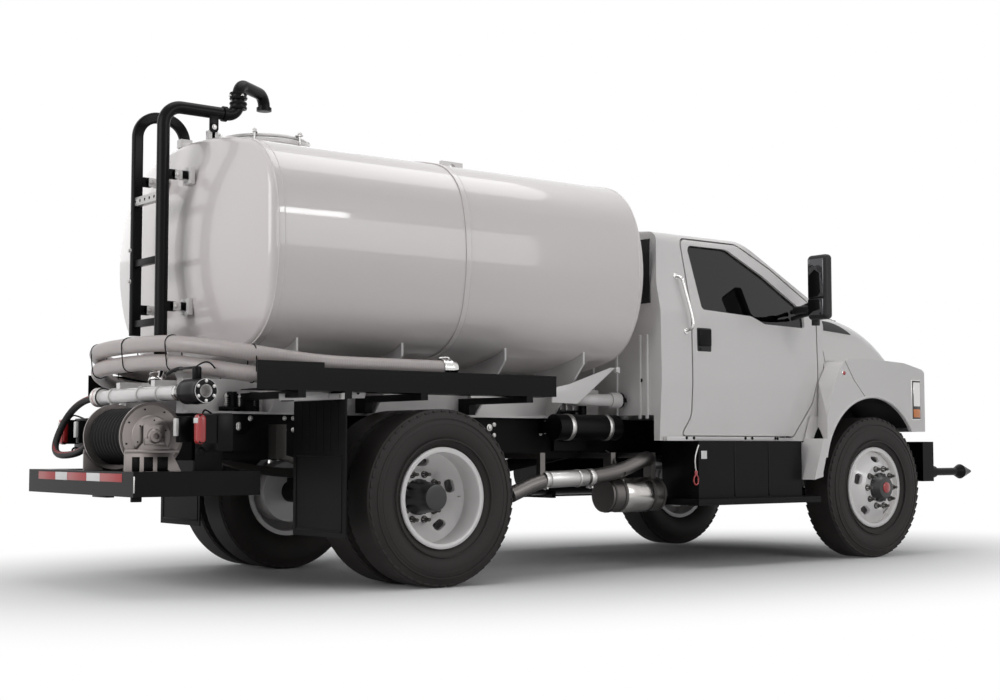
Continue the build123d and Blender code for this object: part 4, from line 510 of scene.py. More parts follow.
def sidewall_of(name, body, x, y, side):
    """Raised rings on the outer sidewall."""
    rings = [turned([(bulge - 0.004, radius - 0.006), (bulge + proud, radius - 0.004),
                     (bulge + proud, radius + 0.004), (bulge - 0.004, radius + 0.006)], (x, y, tyre_radius),
                    (0, side, 0), 72)
             for radius, bulge, proud in ((0.345, 0.1375, 0.0035), (0.47, 0.134, 0.003),
                                          (0.437, 0.1385, 0.0025))]
    settle(join(rings), name, tyre_rubber, body, 40)


for side, hand in hands:
    front, rear = "front_wheel_" + hand, "rear_wheels_" + hand
    tread_of("front_tread_" + hand, front, 0, side * front_track)
    sidewall_of("front_rings_" + hand, front, 0, side * front_track, side)
    for number, reach in enumerate((rear_outer - dual, rear_outer)):
        tread_of("rear_tread_%s_%d" % (hand, number), rear, rear_axle, side * reach)
    sidewall_of("rear_rings_" + hand, rear, rear_axle, side * rear_outer, side)

# %% [markdown]
# ## Wheels
# The discs and rims are right as CAD solids. What they lack is the rolled lip that catches the
# light, real nuts on studs, the valve and the hub's cover. The front cover is black with a red
# middle, and the rear one is the axle's flange with its ring of studs.

# %% Rim lips, nuts and hub covers
def wheel_ring(profile, x, y, side, steps):
    """A profile turned about a wheel's axis, its distances counted outwards."""
    return turned([(side * out, radius) for out, radius in profile], (x, y, tyre_radius), along_y, steps)


def nuts_of(name, body, x, y, side, stud):
    """Ten flanged nuts with their studs."""
    model = join([bar((0, 0, 0), (0, 0, 0.0255), 0.0176, 6, 0.002),
                  bar((0, 0, -0.001), (0, 0, 0.006), 0.0235, 32, 0.0015),
                  bar((0, 0, 0.02), (0, 0, 0.02 + stud), 0.0105, 20, 0.002)])
    turn = facing_matrix((0, side, 0))
    settle(copies(model, [Matrix.Translation((x + a, y, tyre_radius + b)) @ turn
                          for a, b in circle(10, 0.143)]),
           name, raw_steel, body, 30)


def hub_cover(name, body, x, y, side, length):
    """A cover over the hub: a flange with a ring of small bolts, a barrel and a domed end."""
    cover = wheel_ring([(0, 0.1085), (0.01, 0.1085), (0.016, 0.1035), (length - 0.004, 0.08),
                        (length + 0.0012, 0.076), (length + 0.003, 0.066), (length + 0.004, 0.03),
                        (length + 0.004, 0)], x, y, side, 64)
    heads = hex_bolts([(x + a, y + side * 0.016, tyre_radius + b) for a, b in circle(8, 0.0985, 0.5)],
                      (0, side, 0), 0.0085, 0.01)
    settle(join([cover, heads]), name, black_hub, body)


for side, hand in hands:
    for end, body, x, rim_y, disc_y, stud, length, valve_in in (
            ("front", "front_wheel_", 0, front_track, front_track + dual / 2, 0.03, 0.062,
             front_track + dual / 2 - 0.05),
            ("rear", "rear_wheels_", rear_axle, rear_outer, rear_outer - dual / 2 + 0.014, 0.042, 0.19,
             rear_outer - 0.06)):
        body += hand
        lip = wheel_ring([(0.0948, 0.2705), (0.1108, 0.2705), (0.1153, 0.275), (0.1163, 0.286),
                          (0.1153, 0.297), (0.1088, 0.3005), (0.1018, 0.2995)], x, side * rim_y, side, 96)
        settle(lip, "%s_lip_%s" % (end, hand), wheel_paint, body, 60)
        nuts_of("%s_nuts_%s" % (end, hand), body, x, side * disc_y, side, stud)
        hub_cover("%s_cover_%s" % (end, hand), body, x, side * disc_y, side, length)
        valve = tube_along([(x + 0.235, side * valve_in, tyre_radius),
                            (x + 0.232, side * (valve_in + 0.03), tyre_radius),
                            (x + 0.215, side * (valve_in + 0.055), tyre_radius)], 0.004)
        settle(valve, "%s_valve_%s" % (end, hand), zinc, body)
    plug = wheel_ring([(0, 0.04), (0.004, 0.04), (0.008, 0.034), (0.01, 0)], 0,
                      side * (front_track + dual / 2 + 0.0655), side, 40)
    settle(plug, "front_plug_" + hand, red_plastic, "front_wheel_" + hand, 40)

# %% [markdown]
# ## Tank
# The tank is rolled sheet: two heads are welded to the shell, and a seam runs round the middle.
# A weld shows as a low bead with its own grain. The photograph also shows a rim ring where each
# head meets the shell, and small brackets that carry the ladder and the fill pipe.

# %% Weld beads that follow the tank's section
tank_front, tank_rear, tank_length = -2.115, -5.21, 3.095
tank_half_width, tank_half_height, tank_middle = 1.03, 0.69, 2.01


def tank_section(grow, count=18, between=16):
    """Points round the tank: four bowed sides, each an arc, and four large corners that touch them."""
    half_w, half_h, corner = tank_half_width + grow, tank_half_height + grow, 0.4 + grow
    y, z = half_w - 0.12, half_h - 0.15
    knees = [Vector(p) for p in ((-y, z), (y, z), (y, -z), (-y, -z))]
    arcs = []
    for number, middle in enumerate(((0, half_h), (half_w, 0), (0, -half_h), (-half_w, 0))):
        first, last, middle = knees[number], knees[(number + 1) % 4], Vector(middle)
        inward = (first + last) / 2 - middle
        radius = ((last - first).length_squared / 4 + inward.length_squared) / (2 * inward.length)
        arcs.append((middle + inward.normalized() * radius, radius))
    corners = []
    for number in range(4):
        # a corner's centre is where its two arcs, each shrunk by the corner's radius, cross
        (c1, r1), (c2, r2) = arcs[number], arcs[(number + 1) % 4]
        a, b, gap = r1 - corner, r2 - corner, (c2 - c1).length
        onward = (a * a - b * b + gap * gap) / (2 * gap)
        off = sqrt(max(0.0, a * a - onward * onward))
        line = (c2 - c1).normalized()
        across = Vector((-line.y, line.x)) * off
        centre = min((c1 + line * onward + across, c1 + line * onward - across),
                     key=lambda option: (option - knees[(number + 1) % 4]).length)
        start = (centre - c1).normalized()
        turn = start.angle_signed((centre - c2).normalized())
        corners.append([centre + (Matrix.Rotation(-turn * step / count, 2) @ start) * corner
                        for step in range(count + 1)])
    ring = []
    for number in range(4):
        centre, radius = arcs[(number + 1) % 4]
        first, last = corners[number][-1], corners[(number + 1) % 4][0]
        ring += corners[number] + [centre + (first.lerp(last, step / between) - centre).normalized() * radius
                                   for step in range(1, between)]
    return [(p.x, p.y + tank_middle) for p in ring]


# the heads' knuckles start where the dish meets the shell, and the seam's two beads lie about the middle
edge_set_in, seam = 0.155, tank_rear + 0.483 * tank_length
for name, x, radius, grow in (("rear_head_ring", tank_rear + edge_set_in + 0.012, 0.007, -0.0035),
                              ("rear_head_weld", tank_rear + edge_set_in + 0.052, 0.0035, -0.0005),
                              ("front_head_ring", tank_front - edge_set_in - 0.012, 0.007, -0.0035),
                              ("middle_weld_rear", seam - 0.019, 0.0032, 0.004),
                              ("middle_weld_front", seam + 0.019, 0.0032, 0.004)):
    bead = tube_along([(x, y, z) for y, z in tank_section(grow)], radius, cyclic=True, smooth=False)
    settle(bead, name, tank_paint, smooth=60)

# %% [markdown]
# The ladder and the fill pipe stand off the head on flat lugs, each with one bolt. The ladder's
# upper rung is a perforated step of bright metal, and its lower rungs are plain square bars.

# %% Ladder and fill pipe fittings
ladder_x, pipe_y, stile_y = -5.36, -0.19, 0.17
for name, y, z, reach in (("pipe_lug", pipe_y, 2.45, 0.175), ("stile_lug", stile_y, 2.45, 0.175),
                          ("pipe_low_lug", pipe_y, 1.66, 0.17), ("stile_low_lug", stile_y, 1.66, 0.17)):
    ear = join([plate((ladder_x, y - 0.014, z - 0.03), (ladder_x + 0.085, y + 0.014, z + 0.03), 0.005),
                bar((ladder_x + 0.08, y - 0.014, z), (ladder_x + 0.08, y + 0.014, z), 0.03, 32, 0.003)])
    settle(ear, name + "_ear", black_paint)
    foot = join([plate((ladder_x + start, y + low, z - half), (ladder_x + end, y + high, z + half), 0.003)
                 for start, end, low, high, half in ((0.07, reach, -0.026, -0.0145, 0.027),
                                                     (0.112, reach, -0.026, 0.02, 0.027),
                                                     (reach - 0.02, reach + 0.012, -0.05, 0.05, 0.05))])
    settle(foot, name + "_foot", white_paint)
    settle(hex_bolts([(ladder_x + 0.082, y - 0.026, z)], rightwards, 0.011, 0.009), name + "_bolt", zinc)

step = plate((ladder_x - 0.022, -0.152, 2.29), (ladder_x + 0.022, 0.172, 2.345), 0.004)
cutter = join([bar((ladder_x - 0.05, -0.12 + 0.065 * number, 2.318),
                   (ladder_x + 0.05, -0.12 + 0.065 * number, 2.318), 0.01) for number in range(5)])
take(step)
cut = step.modifiers.new("holes", "BOOLEAN")
cut.operation, cut.object, cut.solver = "DIFFERENCE", cutter, "EXACT"
bpy.ops.object.modifier_apply(modifier="holes")
bpy.data.objects.remove(cutter)
settle(step, "perforated_step", zinc)
for number, z in enumerate((1.57, 1.94)):
    settle(plate((ladder_x - 0.019, -0.152, z - 0.021), (ladder_x + 0.019, 0.172, z + 0.021), 0.003),
           "square_rung_%d" % number, black_paint)
settle(hex_bolts([(ladder_x - 0.034, stile_y, z) for z in (1.83, 2.02)], backwards, 0.01, 0.014),
       "stile_bolts", zinc)

swivel_x, way_x, post_x, loop_x = -4.865, -4.58, -5.04, -5.045
collars = [turned([(-0.008, 0.036), (-0.008, 0.052), (0, 0.055), (0.008, 0.052), (0.008, 0.036)],
                  (swivel_x, pipe_y, z), upwards, 40) for z in (2.908, 2.936, 2.968, 2.996)]
collars.append(turned([(-0.012, 0.036), (-0.012, 0.048), (0.01, 0.048), (0.012, 0.036)], (way_x, 0, 2.974),
                      upwards, 40))
collars.append(turned([(-0.012, 0.036), (-0.012, 0.047), (0.012, 0.047), (0.012, 0.036)],
                      (swivel_x - 0.095, pipe_y, 2.86), along_x, 40))
settle(join(collars), "swivel_collars", black_paint)
settle(hex_bolts([(swivel_x + x, pipe_y + y, 2.976) for x, y in ((0, -0.054), (0.054, 0), (-0.054, 0))],
                 upwards, 0.008, 0.012), "swivel_bolts", zinc)
settle(join([plate((post_x - 0.03, pipe_y - 0.028, 2.76), (post_x + 0.03, pipe_y - 0.02, 2.84), 0.003),
             bar((post_x, pipe_y - 0.028, 2.76), (post_x, pipe_y - 0.02, 2.76), 0.03, 32, 0.002)]),
       "pipe_post", black_paint)
settle(plate((post_x - 0.032, pipe_y - 0.02, 2.68), (post_x + 0.032, pipe_y + 0.022, 2.745), 0.004),
       "post_foot", white_paint)
settle(hex_bolts([(post_x, pipe_y - 0.028, 2.765)], rightwards, 0.011, 0.009), "post_bolt", zinc)
settle(plate((loop_x - 0.04, stile_y - 0.03, 2.69), (loop_x + 0.04, stile_y + 0.03, 2.745), 0.004),
       "loop_foot", white_paint)

# %% [markdown]
# The manway is a low neck with a clamped lid. Its rim is a rolled ring, and six dogs round the
# rim hold the lid down on its gasket.

# %% Manway fittings
for name, finish, body, z, closed, profile in (
        ("manway_rim", white_paint, "truck", 2.729, False,
         [(-0.02, 0.262), (-0.016, 0.29), (0.004, 0.2965), (0.01, 0.293), (0.013, 0.262)]),
        ("lid_ring", white_paint, "manway_lid", 2.748, False,
         [(0, 0.262), (0, 0.277), (0.006, 0.2805), (0.014, 0.279), (0.0185, 0.27), (0.0185, 0.24)]),
        ("lid_gasket", rubber, "manway_lid", 2.7424, True,
         [(0, 0.25), (0, 0.272), (0.0055, 0.272), (0.0055, 0.25)])):
    settle(turned(profile, (way_x, 0, z), upwards, 96, closed), name, finish, body, 60)
dogs = []
for number in range(6):
    dog = join([plate((0.268, -0.014, 2.7665), (0.312, 0.014, 2.776), 0.002),
                bar((0.296, 0, 2.715), (0.296, 0, 2.792), 0.007, 16),
                bar((0.296, 0, 2.776), (0.296, 0, 2.788), 0.014, 6, 0.002)])
    dog.data.transform(Matrix.Translation((way_x, 0, 0))
                       @ Matrix.Rotation(pi * (number + 0.5) / 3 + 0.35, 4, "Z"))
    dogs.append(dog)
settle(join(dogs), "rim_dogs", zinc, "manway_lid")
settle(join([plate((-3.215, -0.045, 2.66), (-2.995, 0.045, 2.688), 0.006),
             turned([(-0.018, 0.027), (-0.018, 0.04), (0.018, 0.04), (0.018, 0.027)], (-3.105, 0, 2.762),
                    along_y, 40)]),
       "lifting_eye_ring", white_paint)

# %% [markdown]
# ## Cab
# Small parts sit on curved sheet here, so their places are found by a ray: it starts outside the
# truck, flies inwards and reports where it meets the CAD surface and which way that faces.

# %% Finding the surface
def skin(start, towards):
    """Where a ray from start meets the frame, and the way the surface faces there."""
    graph = bpy.context.evaluated_depsgraph_get()
    hit, place, facing = bpy.context.scene.ray_cast(graph, Vector(start) + to_scene, Vector(towards))[:3]
    return (place - to_scene, facing) if hit else (Vector(start), -Vector(towards))


def side_skin(x, z):
    """The truck's right side at a height."""
    return skin((x, -2.2, z), along_y)


def level(x, y, lowest=1.3):
    """The top surface over (x, y); where a ray falls through a gap, the nearest sheet beside it."""
    for step in (0, 0.012, -0.012, 0.03, -0.03, 0.06, -0.06):
        place = skin((x + step, y, 3), (0, 0, -1))[0]
        if lowest < place.z < 2.9:
            return Vector((x, y, place.z))
    return Vector((x, y, lowest))


# %% [markdown]
# The door handle is a black tray with a paddle, and a bright grab handle stands on the pillar
# behind the door. Both sides are the same, so each piece is made for the right side first and a
# mirrored twin follows.

# %% Handles
door_face = side_skin(-1.645, 1.572)[0].y
both_sides(plate((-1.718, door_face - 0.004, 1.487), (-1.573, door_face + 0.02, 1.657), 0.011, 4),
           "handle_tray", trim_plastic, "door")
both_sides(join([plate((-1.706, door_face - 0.016, 1.528), (-1.585, door_face - 0.003, 1.646), 0.006, 3),
                 bar((-1.688, door_face - 0.007, 1.506), (-1.688, door_face - 0.002, 1.506), 0.009,
                     bevel=0.001)]),
           "handle_paddle", black_paint, "door")
top_hold, low_hold = side_skin(-1.865, 2.01)[0], side_skin(-1.82, 1.625)[0]
grab = [tube_along([top_hold, top_hold + Vector((0.012, -0.045, -0.006)),
                    top_hold + Vector((0.022, -0.056, -0.04)), low_hold + Vector((0.018, -0.06, 0.055)),
                    low_hold + Vector((0.012, -0.048, 0.015)), low_hold], 0.0105, 12)]
grab += [bar(hold + Vector((0, 0.01, 0)), hold + Vector((0, -0.008, 0)), 0.022, bevel=0.003)
         for hold in (top_hold, low_hold)]
both_sides(join(grab), "grab_handle", chrome, smooth=60)

# %% [markdown]
# The back window is bonded glass with a black border, so it looks one size larger than its
# opening. Five small lamps stand on the roof's front edge.

# %% Back window and roof lamps
back_glass = plate((-2.068, -0.9, 1.815), (-2.058, 0.9, 2.262), 0.0045)
take(back_glass)
bpy.ops.object.mode_set(mode="EDIT")
bpy.ops.mesh.select_all(action="DESELECT")
outline = bmesh.from_edit_mesh(back_glass.data)
for edge in outline.edges:
    run = edge.verts[0].co - edge.verts[1].co
    edge.select = abs(run.x) > 0.0005 and abs(run.y) < 0.0005 and abs(run.z) < 0.0005
bmesh.update_edit_mesh(back_glass.data)
bpy.ops.mesh.bevel(offset=0.055, segments=8, affect="EDGES")
bpy.ops.object.mode_set(mode="OBJECT")
settle(back_glass, "back_glass_border", dark_glass)

bases, lenses = [], []
for y in (-0.6, -0.16, 0, 0.16, 0.6):
    x, _, z = skin((-1.15, y, 3.2), (0, 0, -1))[0]
    bases.append(plate((x - 0.045, y - 0.032, z - 0.006), (x + 0.04, y + 0.032, z + 0.012), 0.006, 3))
    lenses.append(turned([(0, 0.03), (0.01, 0.029), (0.022, 0.022), (0.03, 0.01), (0.032, 0)],
                         (x, y, z + 0.008), upwards, 28))
settle(join(bases), "roof_lamp_bases", trim_plastic)
settle(join(lenses), "roof_lamp_lenses", red_plastic, smooth=60)

# %% [markdown]
# Below the door a white sill strip carries pairs of small bolts, and the cab's back is pressed
# into upright ribs that stiffen the sheet.

# %% Sill strip and ribs
both_sides(plate((-2.03, -1.022, 0.868), (-0.905, -0.985, 0.898), 0.004), "sill_strip", white_paint)
both_sides(hex_bolts([(x, -1.022, 0.888) for x in (-1.845, -1.775, -1.262, -1.192, -0.95, -0.925)],
                     rightwards, 0.008, 0.005), "sill_bolts", black_paint)
ribs = [plate((-2.07, y - 0.014, 1.02), (-2.056, y + 0.014, 1.6 if abs(y) > 0.7 else 1.7), 0.0055, 3)
        for y in (-0.86, -0.79, -0.55, -0.3, 0, 0.3, 0.55, 0.79, 0.86)]
settle(join(ribs), "back_ribs", white_paint, smooth=60)
settle(bar((-2.068, -0.8, 1.285), (-2.055, -0.8, 1.285), 0.014, bevel=0.002), "back_plug", trim_plastic)

# %% [markdown]
# ## Mirrors
# Each mirror is one black housing with two glasses set in its rear face: a tall flat one above
# and a small domed one below.

# %% Mirror glasses
for side, hand in hands:
    y = side * 1.335
    for name, low, high, bulge in (("tall", 1.895, 2.17, 0), ("round", 1.765, 1.88, 0.006)):
        settle(plate((-0.856, y - 0.074, low - 0.004), (-0.846, y + 0.074, high + 0.004), 0.0045),
               "mirror_rim_%s_%s" % (name, hand), trim_plastic, "door_" + hand)
        settle(plate((-0.858 - bulge, y - 0.068, low), (-0.852, y + 0.068, high), 0.003),
               "mirror_pane_%s_%s" % (name, hand), mirror_finish, "door_" + hand)
both_sides(join([plate((-0.8, -1.25, 1.79), (-0.735, -1.06, 1.85), 0.018, 4),
                 bar((-0.765, -1.255, 1.7), (-0.765, -1.255, 1.88), 0.03, bevel=0.004)]),
           "mirror_arm_cover", trim_plastic, "door")

# %% [markdown]
# ## Hood and fenders
# The wheel arch has a rolled lip and a black liner. The liner's flat inner wall is a black sheet that
# paints the shade in the well. At the foot of the windshield lies a black vent panel, and a small
# lamp sits on the fender above its seam.

# %% Arch lips, vents and marker lamps
def arch_point(degrees, y, beyond, x=-0.02, z=0.655, radius=0.54):
    angle = radians(degrees)
    return (x + (radius + beyond) * cos(angle), y, z + (radius + beyond) * sin(angle))


for name, body, first, last in (("arch_lip", "hood", 34, 146), ("arch_lip_rear", "truck", 149, 170)):
    lip_points = [arch_point(first + (last - first) * step / 30, -1.167, 0.01) for step in range(31)]
    both_sides(tube_along(lip_points, 0.009, smooth=False), name, white_paint, body, 60)
# a black liner under the arch; its flat inner wall is painted shade, a dark sheet where the well lies in
# shade
liner = [arch_point(36 + 104 * step / 24, y, 0.006) for step in range(25) for y in (-1.15, -0.7)]
shade_wall = [2 * step + 1 for step in range(25)]
both_sides(sheet(liner, grid_faces(24, 1) + [shade_wall], 0.004), "arch_liner_and_shade", trim_plastic, "hood", 50)

vent_corners = [Vector(corner) for corner in ((-0.385, 0.6), (0.03, 0.735), (-0.1, 0.845), (-0.385, 0.9))]
for side, hand in hands:
    a, b, c, d = vent_corners
    verts = []
    for i in range(11):
        for j in range(7):
            x, y = a.lerp(b, i / 10).lerp(d.lerp(c, i / 10), j / 6)
            verts.append(level(x, side * y) + Vector((0, 0, 0.004)))
    settle(sheet(verts, grid_faces(10, 6), 0.004), "cowl_vent_" + hand, trim_plastic, "hood", 50)
    slats = []
    for number in range(7):
        x = -0.345 + 0.042 * number
        slats.append(tube_along([level(x + 0.02 * t, side * (0.64 + 0.22 * t)) + Vector((0, 0, 0.004))
                                 for t in (0, 0.33, 0.66, 1)], 0.0045, 6))
    settle(join(slats), "vent_slats_" + hand, black_paint, "hood")

verts = []
for i in range(9):
    low, high = 1.7 - 0.012 * i / 8, 1.772 - 0.08 * (i / 8) ** 2
    for j in range(4):
        place, facing = side_skin(-0.36 + 0.4 * i / 8, low + (high - low) * j / 3)
        verts.append(place + facing * 0.004)
both_sides(sheet(verts, grid_faces(8, 3), 0.003), "vent_side", trim_plastic, "hood", 50)

place, facing = side_skin(-0.362, 1.372)
both_sides(turned([(0, 0.021), (0.004, 0.021), (0.006, 0.017)], place, facing, 32), "marker_base", chrome)
both_sides(turned([(0.002, 0.016), (0.008, 0.015), (0.013, 0.009), (0.014, 0)], place, facing, 32),
           "marker_lens", red_plastic, smooth=60)

# %% Headlamp sides
for name, back, front, low, high, lift, finish in (
        ("lamp_side_rim", 0.44, 0.548, 1.035, 1.345, 0.0015, chrome),
        ("lamp_side", 0.446, 0.543, 1.042, 1.338, 0.003, dark_glass),
        ("lamp_amber", 0.456, 0.534, 1.055, 1.118, 0.0042, amber_glass),
        ("lamp_clear", 0.456, 0.534, 1.14, 1.325, 0.0042, chrome)):
    y = side_skin((back + front) / 2, (low + high) / 2)[0].y
    both_sides(plate((back, y - lift, low), (front, y + 0.004, high), 0.0015), name, finish, "hood", 50)

# %% [markdown]
# ## Bed, mounts and trays
# The tank sits on a white bed with gussets. Sprung mounts tie the bed to the frame rails: a black
# plate with bright bolts below, and springs on long bolts above.

# %% Gussets and sprung mounts
def wedge(corners, y, thickness):
    """A flat plate of any outline in the X-Z plane, as thick as given, its edges broken."""
    count = len(corners)
    verts = [(x, y + reach, z) for reach in (-thickness / 2, thickness / 2) for x, z in corners]
    faces = [tuple(range(count)), tuple(range(2 * count - 1, count - 1, -1))]
    faces += [(n, (n + 1) % count, count + (n + 1) % count, count + n) for n in range(count)]
    return shape(mesh_piece(verts, faces), outward,
                 (bpy.ops.mesh.bevel, dict(offset=0.0015, segments=2, affect="EDGES")))


for name, finish, y, thickness, corners in (
        ("front_gusset", white_paint, -0.745, 0.014,
         [(-2.258, 1.367), (-2.3, 1.367), (-2.672, 1.245), (-2.82, 1.215), (-2.82, 1.12), (-2.601, 1.115)]),
        ("gusset_foot", white_paint, -0.745, 0.04,
         [(-2.258, 1.372), (-2.225, 1.372), (-2.225, 1.33), (-2.258, 1.34)]),
        ("tray_angle", zinc, -0.948, 0.006,
         [(-3.655, 1.198), (-3.135, 1.204), (-3.135, 1.162), (-3.17, 1.146), (-3.64, 1.128)]),
        ("flap_angle", white_paint, -1.0, 0.008,
         [(-4.475, 1.205), (-4.405, 1.215), (-4.405, 1.2), (-4.44, 1.19), (-4.452, 1.11), (-5.02, 1.085),
          (-5.02, 1.125), (-4.6, 1.14)])):
    both_sides(wedge(corners, y, thickness), name, finish)

for number, left, right, low, high in ((1, -2.56, -2.372, 0.86, 1.075), (2, -5.112, -4.866, 0.895, 1.06)):
    middle = (left + right) / 2
    both_sides(wedge([(left, high), (right, high), (right, low + 0.07), (middle + 0.03, low),
                      (middle - 0.05, low), (left, low + 0.06)], -0.462, 0.014), "mount_plate_%d" % number,
               black_paint)
    both_sides(plate((left, -0.5, high - 0.01), (right, -0.455, high + 0.002)), "mount_shelf_%d" % number,
               black_paint)
    spots = ((left + 0.045, high - 0.065), (right - 0.045, high - 0.065), (middle, high - 0.105),
             (middle, low + 0.045), (left + 0.03, low + 0.095))
    both_sides(hex_bolts([(x, -0.47, z) for x, z in spots], rightwards, 0.0115, 0.01),
               "mount_bolts_%d" % number, zinc)
    coils = []
    for x in (left + 0.035, middle, right - 0.035):
        coils.append(tube_along([(x + 0.014 * cos(t * 0.9), -0.478 + 0.014 * sin(t * 0.9),
                                  high + 0.004 + 0.0016 * t)
                                 for t in range(34)], 0.0032, 6))
        coils.append(bar((x, -0.478, high), (x, -0.478, high + 0.078), 0.0065, 16, 0.001))
        coils.append(bar((x, -0.478, high + 0.058), (x, -0.478, high + 0.068), 0.016, 6, 0.0015))
    both_sides(join(coils), "mount_springs_%d" % number, zinc)

# %% [markdown]
# Rows of bolt heads run along the frame rail, and a plain angle bracket with four holes hangs
# under the front tray.

# %% Rail bolts and brackets
rail_side = -0.4345
places = [(x, rail_side, z + 0.012 * (round(x * 100) % 3))
          for x in (-2.62, -2.66, -2.2, -2.24, -2.1, -1.98, -3.06, -4.6, -4.66, -5.2) for z in (0.975, 0.905)]
both_sides(hex_bolts(places, rightwards, 0.01, 0.009), "rail_bolts", zinc)
both_sides(hex_bolts([(-3.1, rail_side, 0.955), (-3.1, rail_side, 0.865)], rightwards, 0.016, 0.012),
           "rail_big_bolts", zinc)
settle(plate((-3.43, -0.4365, 0.845), (-3.19, -0.4335, 0.955), 0.0008), "blank_label", white_plastic)
settle(plate((-3.43, -0.4372, 0.93), (-3.19, -0.436, 0.956), 0.0004), "label_band", red_paint)
both_sides(join([bar((x, -0.9525, z), (x, -0.95, z), 0.0085)
                 for x, z in ((-3.575, 1.168), (-3.455, 1.17), (-3.33, 1.173), (-3.205, 1.176))]),
           "angle_holes", black_paint)
both_sides(bar((-4.5, -1.006, 1.14), (-4.5, -1.0035, 1.14), 0.011), "flap_angle_hole", black_paint)

# %% [markdown]
# ## Suction hoses
# Two long hoses lie in the trays and cross behind the tank. The real ones are milky plastic with
# a moulded spiral, so each is rebuilt as a swept tube whose radius rises and falls, on the same
# centre line and inside the same outline as the CAD hose.

# %% A ribbed hose
def hose_line(route, step):
    """Points a fixed step apart on the soft curve that touches the middle of each run."""
    points = [Vector(place) for place in route]
    rough = [points[0]]
    for before, corner, after in zip(points, points[1:], points[2:]):
        start, end = (before + corner) / 2, (corner + after) / 2
        rough += [start * (1 - t) ** 2 + corner * 2 * t * (1 - t) + end * t * t
                  for t in [n / 24 for n in range(25)]]
    rough.append(points[-1])
    even, left = [rough[0]], step
    for a, b in zip(rough, rough[1:]):
        length, at = (b - a).length, 0.0
        while length - at > left:
            at += left
            even.append(a.lerp(b, at / length))
            left = step
        left -= length - at
    return even


def swept(line, radii, sides=20):
    """A tube through the points of a line with its own radius at each, ends closed."""
    verts, last = [], len(line) - 1
    side = (line[1] - line[0]).orthogonal().normalized()
    for n, place in enumerate(line):
        ahead = (line[min(n + 1, last)] - line[max(n - 1, 0)]).normalized()
        side = (side - ahead * side.dot(ahead)).normalized()
        other = ahead.cross(side)
        verts += [place + side * a + other * b for a, b in circle(sides, radii[n])]
    faces = [(n * sides + k, n * sides + (k + 1) % sides, (n + 1) * sides + (k + 1) % sides,
              (n + 1) * sides + k)
             for n in range(last) for k in range(sides)]
    faces += [tuple(range(sides - 1, -1, -1)), tuple(range(last * sides, (last + 1) * sides))]
    return shape(mesh_piece(verts, faces), outward)


halves = {"suction_hose_upper": [(1.26, -1.055, 1.298), (0.86, -1.056, 1.298), (0.42, -1.055, 1.299),
                                 (0.053, -0.957, 1.35), (-0.206, -0.65, 1.405), (-0.26, -0.355, 1.425)],
          "suction_hose_lower": [(1.08, -1.055, 1.196), (0.76, -1.056, 1.196), (0.43, -1.055, 1.197),
                                 (0.065, -0.957, 1.228), (-0.194, -0.65, 1.29), (-0.25, -0.355, 1.318)]}
hose_lines = []
for name, half in halves.items():
    route = [(tank_rear + x, y, z) for x, y, z in half + [(x, -y, z) for x, y, z in reversed(half)]]
    line = hose_line(route, 0.0055)
    hose_lines.append(line)
    radii = [0.0473 + 0.0007 * (-1 if n % 3 else 1) for n in range(len(line))]
    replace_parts(settle(swept(line, radii), name + "_ribbed", hose_plastic, smooth=60), name)

# %% [markdown]
# Thin black straps hold the hoses together behind the tank, and each hose end has a chrome
# coupling with a ring and two lever arms.

# %% Straps and couplings
def strap(found, outwards):
    """A closed loop round both hoses at the points found, in the plane of outwards and up."""
    loop = [place + 0.0505 * (outwards * cos(angle) + Vector(upwards) * sin(angle))
            for number, place in enumerate(found)
            for angle in [pi * (number + n / 8) for n in range(9)]]
    return tube_along(loop, 0.0035, 6, cyclic=True)


def off_strap(place):
    """How far a point of a hose lies from the straps beside the tank's rear end."""
    return abs(place.x - tank_rear - 0.06) + 0.2 * abs(place.z - 1.3)


straps = [strap([min((p for p in line if p.y * side > 0), key=off_strap) for line in hose_lines],
                Vector((0, side, 0))) for side in (-1, 1)]
straps += [strap([min(line, key=lambda p: abs(p.y - y)) for line in hose_lines], Vector(backwards))
           for y in (-0.52, 0.52, 0)]
settle(join(straps), "hose_straps", rubber, smooth=60)

rings = []
for side in (-1, 1):
    x, y, z = tank_rear + 1.26, side * 1.055, 1.298
    rings += [collar(start, end, radius, 0.05, (x, y, z), along_x)
              for start, end, radius in ((0.004, 0.016, 0.0585), (0.03, 0.04, 0.058), (0.058, 0.069, 0.0585))]
    rings.append(turned([(0.072, 0.044), (0.072, 0.049), (0.103, 0.049), (0.105, 0.047), (0.105, 0.034),
                         (0.085, 0.032)], (x, y, z), along_x, 40))
    rings += [tube_along([(x + 0.06, y, z + up * 0.056), (x + 0.075, y, z + up * 0.066),
                          (x + 0.03, y, z + up * 0.068), (x - 0.01, y, z + up * 0.06)], 0.005)
              for up in (-1, 1)]
settle(join(rings), "coupling_rings", chrome, smooth=45)

# %% [markdown]
# ## Hose reel and rear fittings
# The reel is a steel drum with pressed flanges. Its hose is laid in round turns, and a black feed
# hose with a red stripe hangs in a loop beside it.

